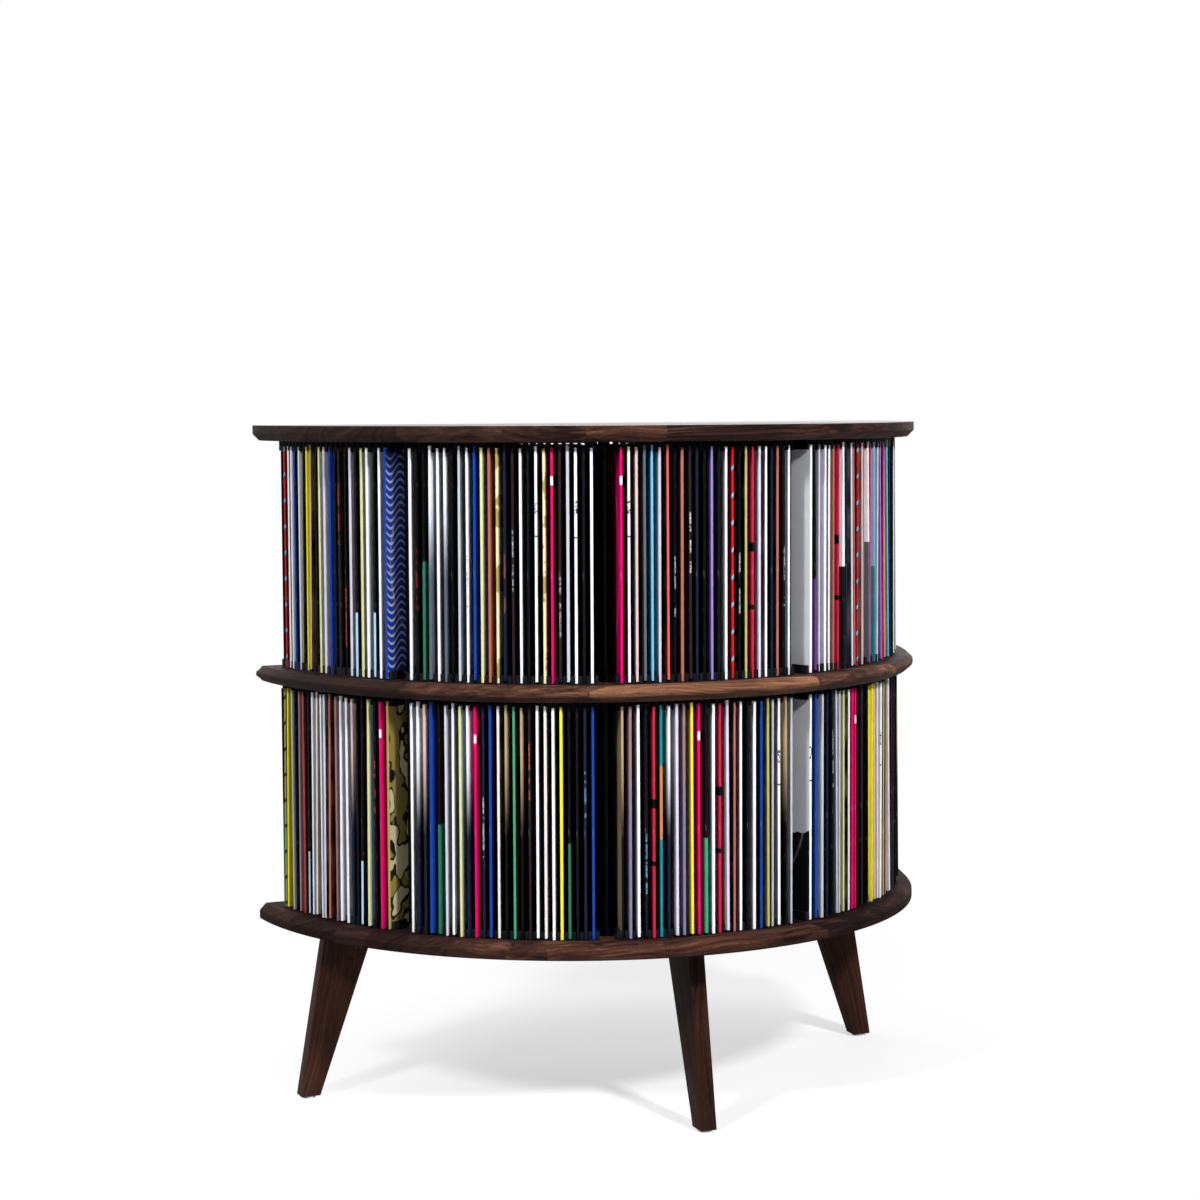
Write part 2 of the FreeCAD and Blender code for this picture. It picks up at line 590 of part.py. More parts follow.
holder_sets = []
for tier, floor in TIERS.items():
    ceiling = f"{floor} + Derived.bay_height"
    make_core(f"core_wall_{tier}", floor)
    for side_name, side_sign in SIDES.items():
        make_end_panel(f"end_panel_{tier}_{side_name}", floor, side_sign)
    for number in DIVIDERS:
        make_divider(f"divider_{tier}_{number}", floor, divider_angle(number))
    holder_sets.append(make_holders(f"holders_{tier}_floor", floor, hanging=False))
    holder_sets.append(make_holders(f"holders_{tier}_ceiling", ceiling, hanging=True))
    for sector in SECTORS:
        make_comb(f"comb_{tier}_floor_{sector}", floor, sector, hanging=False)
        make_comb(f"comb_{tier}_ceiling_{sector}", ceiling, sector, hanging=True)
        make_sector_sleeves(tier, floor, sector)

holders = doc.addObject("Part::Compound", "divider_holders")
holders.Links = holder_sets
nodes.append(holders)

doc.recompute()

for thing in doc.Objects:
    if {"Invalid", "Error"} & set(thing.State):
        raise RuntimeError(f"{thing.Label} did not build: {thing.State}")
for node in nodes:
    if node.Shape.isNull() or not node.Shape.isValid() or not node.Shape.Solids:
        raise RuntimeError(f"{node.Label} has no valid solid")

os.makedirs("parts", exist_ok=True)
for node in nodes:
    node.Shape.exportStep(f"parts/{node.Label}.step")
    print(f"{node.Label}: {len(node.Shape.Solids)} solids, {node.Shape.Volume / 1000:.1f} cm3")
print(f"{len(nodes)} nodes, {derived.slots:.0f} slots to a fan, {derived.end_slots:.0f} at the ends")
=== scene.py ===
"""Looks of the half-round record rack: oiled walnut, black fittings and sleeved records."""

import logging
import math
import random
from collections.abc import Callable, Iterable
from dataclasses import dataclass, field, replace
from enum import Enum

import bmesh
import bpy
from mathutils import Matrix, Vector


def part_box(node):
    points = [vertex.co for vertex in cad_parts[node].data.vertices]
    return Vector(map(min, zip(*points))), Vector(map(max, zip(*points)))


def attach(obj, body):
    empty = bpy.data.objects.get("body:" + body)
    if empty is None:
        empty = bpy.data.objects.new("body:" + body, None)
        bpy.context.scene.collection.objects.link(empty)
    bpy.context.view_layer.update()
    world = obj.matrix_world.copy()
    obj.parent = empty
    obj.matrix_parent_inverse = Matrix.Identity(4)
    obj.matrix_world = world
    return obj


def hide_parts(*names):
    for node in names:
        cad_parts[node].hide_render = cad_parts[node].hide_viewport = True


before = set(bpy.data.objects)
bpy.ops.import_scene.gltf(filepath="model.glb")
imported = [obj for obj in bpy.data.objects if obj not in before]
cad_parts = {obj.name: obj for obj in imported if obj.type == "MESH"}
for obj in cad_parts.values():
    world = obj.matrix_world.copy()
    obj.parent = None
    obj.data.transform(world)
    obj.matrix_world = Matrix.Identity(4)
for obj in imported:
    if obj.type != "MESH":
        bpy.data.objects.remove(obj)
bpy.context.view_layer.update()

LOG = logging.getLogger("record_rack")
RACK = "rack"
TIERS = ("upper", "lower")
SECTORS = (1, 2, 3, 4, 5)
ENDS = ("left", "right")
MERGE_DISTANCE = 1e-6
SEAM_DISTANCE = 1e-5
NEVER_ZERO = 0.0001
SMOOTH_ANGLE = math.radians(35)

Pair = tuple[float, float]
Triple = tuple[float, float, float]
Colour = tuple[float, float, float, float]
Plug = bpy.types.NodeSocket
Feed = Plug | float | tuple | str | bool | bpy.types.ID

WHITE: Colour = (1.0, 1.0, 1.0, 1.0)


def linear(code: str) -> Colour:
    """Turns a six-digit colour code into linear light.

    Args:
        code: Red, green and blue, two hexadecimal digits each.

    Returns:
        The colour as Blender's sockets take it, with full alpha.
    """
    levels = [int(code[i:i + 2], 16) / 255 for i in (0, 2, 4)]
    light = [v / 12.92 if v <= 0.04045 else ((v + 0.055) / 1.055) ** 2.4 for v in levels]
    return (*light, 1.0)


class Ink(Enum):
    """Colours that the sleeves are printed in."""

    WHITE = "eef0f5"
    IVORY = "e6ded6"
    LILAC = "cfcadb"
    SILVER = "b9bec8"
    STEEL = "93a9b5"
    SLATE = "56616d"
    BLACK = "08080a"
    NIGHT = "100f16"
    NAVY = "161c2f"
    BLUE = "153f9c"
    ICE = "a4d0ef"
    SKY = "68b4d8"
    TEAL = "128290"
    GREEN = "2a6d53"
    MINT = "3c9c6f"
    OLIVE = "b3ac5f"
    YELLOW = "ecdf1e"
    STRAW = "d9d38b"
    CREAM = "e2d8a9"
    GOLD = "a3924e"
    TAN = "b29a75"
    TERRACOTTA = "ab6253"
    CORAL = "dc5a4e"
    ORANGE = "c47c45"
    RED = "bf1722"
    BRICK = "a63c35"
    CRIMSON = "bd2142"
    MAGENTA = "d90463"
    PINK = "d3b6b3"
    MAUVE = "91757a"
    UMBER = "261b1f"
    HEATHER = "7d7797"
    VIOLET = "8c78c2"
    PURPLE = "5d3a84"

    @property
    def light(self) -> Colour:
        """The ink in linear light."""
        return linear(self.value)


class Print(Enum):
    """How a sleeve's second ink lies on its board.

    On the packed fans, the faces of the styles up to BLUSH get painted shade, for the dark between the
    sleeves, and the others print the faces too.
    """

    PLAIN = 0
    TITLE = 1
    TICKS = 2
    SPECKS = 3
    TAIL = 4
    BAND = 5
    BLUSH = 6
    LABEL = 7
    SPLIT = 8
    FADE = 9
    MOTTLE = 10
    BREAKS = 11
    FACED = 12


class Cover(Enum):
    """Plain designs for the faces of the sleeves, and the painted shade laid on the faces of the packed
    fans.
    """

    BARE = 0
    WAVES = 1
    MARBLE = 2
    DUSK = 3
    CLOUDED = 4


@dataclass(frozen=True)
class RecordLook:
    """The inks of one sleeve and the way they are laid."""

    board: Ink
    style: Print = Print.PLAIN
    ink: Ink = Ink.WHITE

    @classmethod
    def read(cls, words: str) -> "RecordLook":
        """Reads a look written as board, or board/style/ink.

        Args:
            words: The names of the board's ink, the style and the second ink.

        Returns:
            The look that the words name.
        """
        parts = words.upper().split("/")
        if len(parts) == 1:
            return cls(Ink[parts[0]])
        return cls(Ink[parts[0]], Print[parts[1]], Ink[parts[2]])


STOCK = {
    ("upper", 1): "black red/ticks/sky white white/faced/silver blue ivory/faced/silver black"
                  " yellow/faced/yellow tan black straw/faced/steel lilac blue/faced/blue night"
                  " umber/title/coral black/title/coral lilac night/tail/ice straw/faced/steel white"
                  " night/tail/ice white blue/plain/lilac",
    ("upper", 2): "white black/title/red black/split/green white/fade/slate white white/fade/slate black"
                  " silver white/title/slate blue straw/faced/steel terracotta cream/mottle/gold"
                  " navy/title/terracotta umber/title/silver white night white/specks/night"
                  " cream/mottle/gold magenta/label/white umber/title/silver silver white/specks/night"
                  " night white",
    ("upper", 3): "magenta/label/white white/specks/night pink slate sky/faced/sky silver coral"
                  " black/title/silver terracotta umber/title/ivory navy black violet night white"
                  " red/ticks/sky black/title/ivory olive crimson/breaks/black lilac white navy terracotta"
                  " night/title/silver white",
    ("upper", 4): "white black/split/purple lilac white/faced/lilac white terracotta/faced/terracotta"
                  " crimson/breaks/black white/split/night navy lilac terracotta red/ticks/sky pink"
                  " terracotta white/split/slate magenta sky/split/teal mauve lilac violet magenta olive"
                  " sky black silver",
    ("upper", 5): "navy white terracotta black lilac silver crimson straw black blue white umber mauve"
                  " night silver",
    ("lower", 1): "black/split/green gold/ticks/night yellow silver black mauve brick/faced/umber"
                  " night/tail/ice white/faced/silver ivory white/faced/silver lilac terracotta"
                  " mauve/faced/mauve white/faced/silver white pink/fade/navy night night/tail/ice"
                  " straw/faced/steel black/title/coral magenta/label/white gold/plain/cream",
    ("lower", 2): "white/faced/lilac white/fade/navy pink/fade/navy blue/faced/blue black/split/green"
                  " lilac/faced/silver white straw/faced/steel white/fade/navy magenta/label/white"
                  " navy/title/white blue ivory tan/fade/black mint tan/fade/black umber/title/coral white"
                  " ivory white yellow/faced/gold black/split/green night navy/title/sky blue",
    ("lower", 3): "tan/blush/black mauve/fade/heather white night/title/sky crimson/breaks/black"
                  " teal/band/orange white/fade/navy lilac mauve/fade/heather yellow/faced/gold"
                  " magenta/label/white black/split/mint white crimson/breaks/black lilac terracotta white"
                  " black white blue olive silver white/specks/navy tan/fade/black silver",
    ("lower", 4): "white/specks/night blue silver navy night/title/silver silver/faced/slate"
                  " silver/faced/silver straw white magenta/faced/crimson magenta/label/white night umber"
                  " black yellow/faced/yellow yellow/faced/yellow pink/faced/pink ivory white/specks/night"
                  " white olive terracotta white sky/faced/slate umber",
    ("lower", 5): "umber black silver navy white tan/fade/black coral black/title/white sky white umber"
                  " olive lilac blue night",
}

COVERS = {
    "loose_record_upper_1": Cover.WAVES,
    "loose_record_upper_3": Cover.BARE,
    "loose_record_upper_4": Cover.BARE,
    "loose_record_lower_1": Cover.MARBLE,
    "loose_record_lower_2": Cover.BARE,
    "loose_record_lower_4": Cover.DUSK,
}


class Wiring:
    """Adds nodes to one tree and joins them as they are added."""

    def __init__(self, tree: bpy.types.NodeTree) -> None:
        """Starts wiring a tree.

        Args:
            tree: The shader or geometry tree to fill.
        """
        self.tree = tree

    def feed(self, socket: Plug, value: Feed) -> None:
        """Links a socket to another one, or sets its value.

        Args:
            socket: The input to feed.
            value: An output socket, or a plain value.
        """
        if isinstance(value, Plug):
            self.tree.links.new(value, socket)
        else:
            socket.default_value = value

    def node(
        self, kind: str, inputs: dict[str | int, Feed] | None = None, **settings: object
    ) -> bpy.types.Node:
        """Adds one node.

        Args:
            kind: Blender's name of the node's type.
            inputs: What feeds its inputs, by name or number.
            **settings: The node's own properties.

        Returns:
            The new node.
        """
        made = self.tree.nodes.new(kind)
        for key, value in settings.items():
            setattr(made, key, value)
        for key, value in (inputs or {}).items():
            self.feed(made.inputs[key], value)
        return made

    def math(self, operation: str, *values: Feed) -> Plug:
        """Adds one sum, and returns its result."""
        inputs = dict(enumerate(values))
        return self.node("ShaderNodeMath", inputs, operation=operation).outputs[0]

    def product(self, *values: Feed) -> Plug:
        """Multiplies several values together."""
        result = values[0]
        for value in values[1:]:
            result = self.math("MULTIPLY", result, value)
        return result

    def total(self, *values: Feed) -> Plug:
        """Adds several values together."""
        result = values[0]
        for value in values[1:]:
            result = self.math("ADD", result, value)
        return result

    def length(self, *values: Feed) -> Plug:
        """Gives the length of a line from its extents along each axis."""
        return self.math("SQRT", self.total(*[self.product(value, value) for value in values]))

    def near(self, value: Feed, middle: Feed, reach: float) -> Plug:
        """Gives 1 where a value lies within reach of a middle, and 0 elsewhere."""
        return self.math("COMPARE", value, middle, reach)

    def spread(self, value: Feed, low: float, high: float, to_low: float, to_high: float) -> Plug:
        """Maps one range smoothly to another.

        Args:
            value: What is mapped.
            low: Value that becomes to_low.
            high: Value that becomes to_high.
            to_low: Result at and below low.
            to_high: Result at and above high.

        Returns:
            The mapped value.
        """
        inputs = {"Value": value, "From Min": low, "From Max": high, "To Min": to_low, "To Max": to_high}
        return self.node("ShaderNodeMapRange", inputs, interpolation_type="SMOOTHSTEP").outputs[0]

    def mix(self, share: Feed, first: Feed, second: Feed) -> Plug:
        """Mixes two colours.

        Args:
            share: How much of the second colour shows.
            first: The colour below.
            second: The colour above.

        Returns:
            The mixed colour.
        """
        made = self.node("ShaderNodeMix", data_type="RGBA")
        for socket, value in zip((made.inputs[0], made.inputs[6], made.inputs[7]), (share, first, second)):
            self.feed(socket, value)
        return made.outputs[2]

    def scaled(self, vector: Feed, scale: Triple) -> Plug:
        """Stretches a vector along each axis."""
        return self.node("ShaderNodeVectorMath", {0: vector, 1: scale}, operation="MULTIPLY").outputs[0]

    def moved(self, vector: Feed, shift: Feed) -> Plug:
        """Adds one vector to another."""
        return self.node("ShaderNodeVectorMath", {0: vector, 1: shift}, operation="ADD").outputs[0]

    def noise(self, vector: Feed, scale: float, detail: float = 2.0, roughness: float = 0.5) -> Plug:
        """Adds soft noise, and returns its value from 0 to 1."""
        inputs = {"Vector": vector, "Scale": scale, "Detail": detail, "Roughness": roughness}
        return self.node("ShaderNodeTexNoise", inputs).outputs[0]

    def grain(self, vector: Feed, scale: Triple, detail: float = 2.0, roughness: float = 0.5) -> Plug:
        """Adds noise with a scale of its own along each axis, in waves to the metre."""
        return self.noise(self.scaled(vector, scale), 1.0, detail, roughness)

    def chance(self, vector: Feed) -> tuple[Plug, Plug]:
        """Gives each whole-numbered place a value from 0 to 1 and a colour of its own."""
        made = self.node("ShaderNodeTexWhiteNoise", {"Vector": vector}, noise_dimensions="3D")
        return made.outputs["Value"], made.outputs["Color"]

    def ramp(self, value: Feed, stops: Iterable[tuple[float, Colour]]) -> Plug:
        """Colours a value by a row of stops.

        Args:
            value: What is coloured.
            stops: Places from 0 to 1, each with its colour.

        Returns:
            The colour.
        """
        made = self.node("ShaderNodeValToRGB", {0: value})
        elements = made.color_ramp.elements
        for number, (spot, colour) in enumerate(stops):
            element = elements[number] if number < 2 else elements.new(spot)
            element.position = spot
            element.color = colour
        return made.outputs[0]

    def joined(self, x: Feed, y: Feed, z: Feed) -> Plug:
        """Makes a vector of three values."""
        return self.node("ShaderNodeCombineXYZ", {0: x, 1: y, 2: z}).outputs[0]

    def parts(self, vector: Feed) -> list[Plug]:
        """Splits a vector into its three values."""
        return list(self.node("ShaderNodeSeparateXYZ", {0: vector}).outputs)

    def place(self) -> Plug:
        """Gives the point in the piece's own axes."""
        return self.node("ShaderNodeTexCoord").outputs["Object"]

    def bump(self, height: Feed, distance: float) -> Plug:
        """Turns a height into a bent normal.

        Args:
            height: Height from 0 to 1.
            distance: Depth of the relief in metres.

        Returns:
            The normal.
        """
        return self.node("ShaderNodeBump", {"Height": height, "Distance": distance}).outputs[0]

    def attribute(self, name: str, output: str) -> Plug:
        """Reads an attribute of the mesh."""
        return self.node("ShaderNodeAttribute", attribute_name=name).outputs[output]


class Finish:
    """A procedural finish, which wires the tree of one material."""

    name: str

    def sockets(self, wires: Wiring) -> dict[str, Feed]:
        """Wires the finish, each kind in its own way.

        Args:
            wires: The wiring of the material's tree.

        Returns:
            What feeds each socket of the shader.
        """
        raise NotImplementedError

    def material(self) -> bpy.types.Material:
        """Builds the material.

        Returns:
            The material, with its shader fed.
        """
        made = bpy.data.materials.new(self.name)
        made.use_nodes = True
        wires = Wiring(made.node_tree)
        shader = made.node_tree.nodes["Principled BSDF"]
        for socket, value in self.sockets(wires).items():
            wires.feed(shader.inputs[socket], value)
        return made


@dataclass(frozen=True)
class Walnut(Finish):
    """Oiled walnut, glued up from staves that run along the grain.

    The grain runs along X after the turn, and each stave has a tone and a figure of its own. A scale
    is in waves to the metre, and a spread is how far that part of the figure swings the colour. The
    upper side is rubbed smoother where polish is below 1. The upright and downward faces are painted
    darker by the underside shade: painted shade, for the light that falls from above.
    """

    piece: str
    seed: float
    turn: Triple = (0.0, 0.0, 0.0)
    stave_width: float = 0.051
    stave_length: float = 0.34
    stave_offset: float = 0.163
    stave_shift: float = 3.0
    tone: float = 0.0
    tone_spread: float = 0.55
    drift_spread: float = 0.7
    drift_scale: Triple = (3.0, 26.0, 26.0)
    streak_spread: float = 1.35
    streak_scale: Triple = (4.0, 60.0, 300.0)
    fibre_spread: float = 0.5
    fibre_scale: Triple = (22.0, 800.0, 800.0)
    pore_scale: Triple = (55.0, 1100.0, 1100.0)
    pore_edge: Pair = (0.6, 0.72)
    pore_share: float = 0.45
    waver: float = 0.05
    waver_scale: Triple = (4.0, 9.0, 9.0)
    end_shade: float = 0.95
    # How far the dark end grain is painted weaker towards the right end: painted light, for the lamp on
    # that side.
    end_light_lean: float = 0.25
    end_pores: Triple = (40.0, 700.0, 700.0)
    rings: float = 150.0
    relief: float = 0.0001
    roughness: Pair = (0.46, 0.62)
    polish: float = 1.0
    gloss: float = 0.08
    # Share of painted shade on the upright and downward faces, for the light that falls from above.
    underside_shade: float = 0.0
    cut: str = "3f2c25"
    dark: str = "1a1211"
    middle: str = "4a2f26"
    pale: str = "8a6046"

    @property
    def name(self) -> str:
        """The material's name, after its piece."""
        return f"walnut_{self.piece}"

    def sockets(self, wires: Wiring) -> dict[str, Feed]:
        """Wires the wood's colour, roughness and relief.

        Args:
            wires: The wiring of the material's tree.

        Returns:
            What feeds each socket of the shader.
        """
        coordinates = wires.node("ShaderNodeTexCoord").outputs
        turned = {"Vector": coordinates["Object"], "Rotation": self.turn}
        along = wires.node("ShaderNodeMapping", turned).outputs[0]
        tone, shift = self.staves(wires, along)
        place = self.wavering(wires, along, shift)
        fibres = wires.grain(place, self.fibre_scale, roughness=0.6)
        pores = wires.spread(wires.grain(place, self.pore_scale, detail=1.0), *self.pore_edge, 0.0, 1.0)
        colour = self.figure(wires, place, tone, fibres)
        colour = wires.mix(wires.product(pores, self.pore_share), colour, linear(self.dark))
        if self.end_shade:
            cut = self.end_grain(wires, place, tone)
            colour = wires.mix(self.ends(wires, coordinates["Normal"]), colour, cut)
        upward = wires.parts(coordinates["Normal"])[2]
        # Painted shade: the upright and downward faces are darkened towards the dark colour.
        if self.underside_shade:
            painted_underside_shade = wires.spread(upward, -0.6, 0.6, self.underside_shade, 0.0)
            colour = wires.mix(painted_underside_shade, colour, linear(self.dark))
        satin = wires.spread(upward, 0.9, 0.98, 1.0, self.polish)
        relief = wires.math("SUBTRACT", wires.product(fibres, 0.4), pores)
        return {
            "Base Color": colour,
            "Roughness": wires.product(wires.spread(fibres, 0.2, 0.8, *self.roughness), satin),
            "Normal": wires.bump(wires.product(relief, satin), self.relief),
            "Specular IOR Level": self.gloss,
        }

    def figure(self, wires: Wiring, place: Plug, tone: Plug, fibres: Plug) -> Plug:
        """Colours the long grain by its stave, its drift, its streaks and its fibres.

        Args:
            wires: The wiring of the tree.
            place: The point in its stave's own figure.
            tone: The stave's tone from 0 to 1.
            fibres: The fine fibres from 0 to 1.

        Returns:
            The colour of the long grain.
        """
        swings = (
            (tone, self.tone_spread),
            (wires.grain(place, self.drift_scale), self.drift_spread),
            (wires.grain(place, self.streak_scale, roughness=0.6), self.streak_spread),
            (fibres, self.fibre_spread),
        )
        parts = [wires.product(wires.math("SUBTRACT", value, 0.5), weight) for value, weight in swings]
        stops = ((0.08, linear(self.dark)), (0.5, linear(self.middle)), (0.98, linear(self.pale)))
        return wires.ramp(wires.total(*parts, 0.5 + self.tone), stops)

    def end_grain(self, wires: Wiring, place: Plug, tone: Plug) -> Plug:
        """Draws the growth rings and pores that show where an edge cuts across the grain.

        Args:
            wires: The wiring of the tree.
            place: The point in its stave's own figure.
            tone: The stave's tone from 0 to 1.

        Returns:
            The colour of the cut ends.
        """
        _, y, z = wires.parts(place)
        rings_out = wires.product(wires.length(y, z), self.rings)
        rings = wires.noise(wires.joined(rings_out, 0.0, 0.0), 1.0, 3.0, 0.6)
        share = wires.total(
            wires.spread(rings, 0.35, 0.65, 0.0, 0.55),
            wires.spread(wires.grain(place, self.end_pores), 0.4, 0.6, 0.0, 0.2),
            wires.product(tone, 0.5),
            -0.15,
        )
        return wires.mix(wires.spread(share, 0.0, 1.0, 0.0, 1.0), linear(self.dark), linear(self.cut))

    def ends(self, wires: Wiring, normal: Plug) -> Plug:
        """Finds where an edge cuts across the grain. Its dark is painted weaker towards the right end:
        painted light, for the lamp on that side.

        Args:
            wires: The wiring of the tree.
            normal: The surface's normal.

        Returns:
            How far the cut ends show.
        """
        x, y, _ = wires.parts(normal)
        # Painted light: the dark of the cut end grain is weakened on the right side, where the lamp falls.
        leaning = wires.math("MAXIMUM", wires.product(x, -1.0), wires.math("SUBTRACT", x, self.end_light_lean))
        level = wires.total(wires.product(x, x), wires.product(y, y), NEVER_ZERO)
        share = wires.math("DIVIDE", wires.product(leaning, leaning), level)
        return wires.spread(share, 0.08, 0.8, 0.0, self.end_shade)

    def staves(self, wires: Wiring, along: Plug) -> tuple[Plug, Plug]:
        """Finds which stave a point lies in.

        Args:
            wires: The wiring of the tree.
            along: The point, with the grain along X.

        Returns:
            The stave's tone from 0 to 1, and a shift that gives it a figure of its own.
        """
        x, y, _ = wires.parts(along)
        across = wires.math("DIVIDE", wires.math("ADD", y, self.stave_offset), self.stave_width)
        row = wires.math("FLOOR", across)
        slide, _ = wires.chance(wires.joined(row, self.seed, 0.5))
        column = wires.math("FLOOR", wires.math("ADD", wires.math("DIVIDE", x, self.stave_length), slide))
        tone, shift = wires.chance(wires.joined(row, column, self.seed))
        return tone, wires.scaled(shift, (self.stave_shift,) * 3)

    def wavering(self, wires: Wiring, along: Plug, shift: Plug) -> Plug:
        """Moves a point into its stave's own figure, whose lines waver a little.

        Args:
            wires: The wiring of the tree.
            along: The point, with the grain along X.
            shift: The shift of the point's stave.

        Returns:
            The point to draw the figure at.
        """
        place = wires.moved(along, shift)
        sweep = wires.product(wires.grain(place, self.waver_scale, detail=1.0), self.waver)
        return wires.moved(place, wires.joined(0.0, sweep, sweep))


@dataclass(frozen=True)
class BlackBoard(Finish):
    """Thin board, painted black, whose upright grain shows through where the coat is thin."""

    name: str = "black_board"
    colour: str = "020203"
    sheen: str = "060608"
    grain: float = 0.2
    gloss: float = 0.1
    grain_scale: Triple = (260.0, 260.0, 5.0)
    cloud_scale: float = 14.0
    peel_scale: float = 900.0
    relief: float = 0.0002
    roughness: Pair = (0.62, 0.44)

    def sockets(self, wires: Wiring) -> dict[str, Feed]:
        """Wires the painted board's colour, roughness and relief.

        Args:
            wires: The wiring of the material's tree.

        Returns:
            What feeds each socket of the shader.
        """
        place = wires.place()
        cloud = wires.noise(place, self.cloud_scale, 4.0, 0.6)
        drawn = wires.grain(place, self.grain_scale, 4.0, 0.7)
        fibres = wires.product(wires.spread(drawn, 0.35, 0.7, 0.0, 1.0), self.grain)
        peel = wires.noise(place, self.peel_scale)
        shown = wires.total(wires.product(cloud, 0.5), wires.product(fibres, 0.6))
        return {
            "Base Color": wires.mix(shown, linear(self.colour), linear(self.sheen)),
            "Roughness": wires.spread(shown, 0.1, 0.9, *self.roughness),
            "Normal": wires.bump(wires.total(wires.product(peel, 0.3), fibres), self.relief),
            "Specular IOR Level": self.gloss,
        }


@dataclass(frozen=True)
class BlackMoulding(Finish):
    """Black plastic with the fine grain of its mould."""

    name: str = "black_moulding"
    colour: str = "0e0f12"
    worn: str = "1a1b1f"
    gloss: float = 0.25
    cloud_scale: float = 45.0
    grain_scale: float = 1600.0
    relief: float = 0.00009
    roughness: Pair = (0.42, 0.6)

    def sockets(self, wires: Wiring) -> dict[str, Feed]:
        """Wires the plastic's colour, roughness and relief.

        Args:
            wires: The wiring of the material's tree.

        Returns:
            What feeds each socket of the shader.
        """
        place = wires.place()
        cloud = wires.noise(place, self.cloud_scale, 3.0)
        grain = wires.noise(place, self.grain_scale, 2.0, 0.7)
        return {
            "Base Color": wires.mix(cloud, linear(self.colour), linear(self.worn)),
            "Roughness": wires.spread(grain, 0.3, 0.7, *self.roughness),
            "Normal": wires.bump(grain, self.relief),
            "Specular IOR Level": self.gloss,
        }


@dataclass(frozen=True)
class ScrewSteel(Finish):
    """Steel of a screw, blackened or zinc plated, with turning marks."""

    name: str
    colour: str
    roughness: float
    roughness_spread: float = 0.18
    glint: float = 1.5
    metal: float = 0.85
    turning_scale: Triple = (300.0, 2600.0, 300.0)
    relief: float = 0.00003

    def sockets(self, wires: Wiring) -> dict[str, Feed]:
        """Wires the steel's colour, roughness and relief.

        Args:
            wires: The wiring of the material's tree.

        Returns:
            What feeds each socket of the shader.
        """
        place = wires.place()
        turned = wires.grain(place, self.turning_scale)
        base = linear(self.colour)
        lighter = tuple(min(1.0, level * self.glint) for level in base[:3]) + (1.0,)
        dull = self.roughness + self.roughness_spread
        return {
            "Base Color": wires.mix(turned, base, lighter),
            "Metallic": self.metal,
            "Roughness": wires.spread(turned, 0.2, 0.8, self.roughness, dull),
            "Normal": wires.bump(turned, self.relief),
        }


@dataclass(frozen=True)
class PaleFelt(Finish):
    """Pale pressed felt of the pads under the feet."""

    name: str = "pale_felt"
    colour: str = "cfcbc2"
    fibre: str = "e9e6df"
    fibre_scale: Triple = (900.0, 900.0, 2600.0)
    relief: float = 0.0003
    roughness: float = 0.9
    sheen: float = 0.3

    def sockets(self, wires: Wiring) -> dict[str, Feed]:
        """Wires the felt's colour, roughness and relief.

        Args:
            wires: The wiring of the material's tree.

        Returns:
            What feeds each socket of the shader.
        """
        place = wires.place()
        fibres = wires.grain(place, self.fibre_scale, 4.0, 0.7)
        return {
            "Base Color": wires.mix(fibres, linear(self.colour), linear(self.fibre)),
            "Roughness": self.roughness,
            "Normal": wires.bump(fibres, self.relief),
            "Sheen Weight": self.sheen,
        }


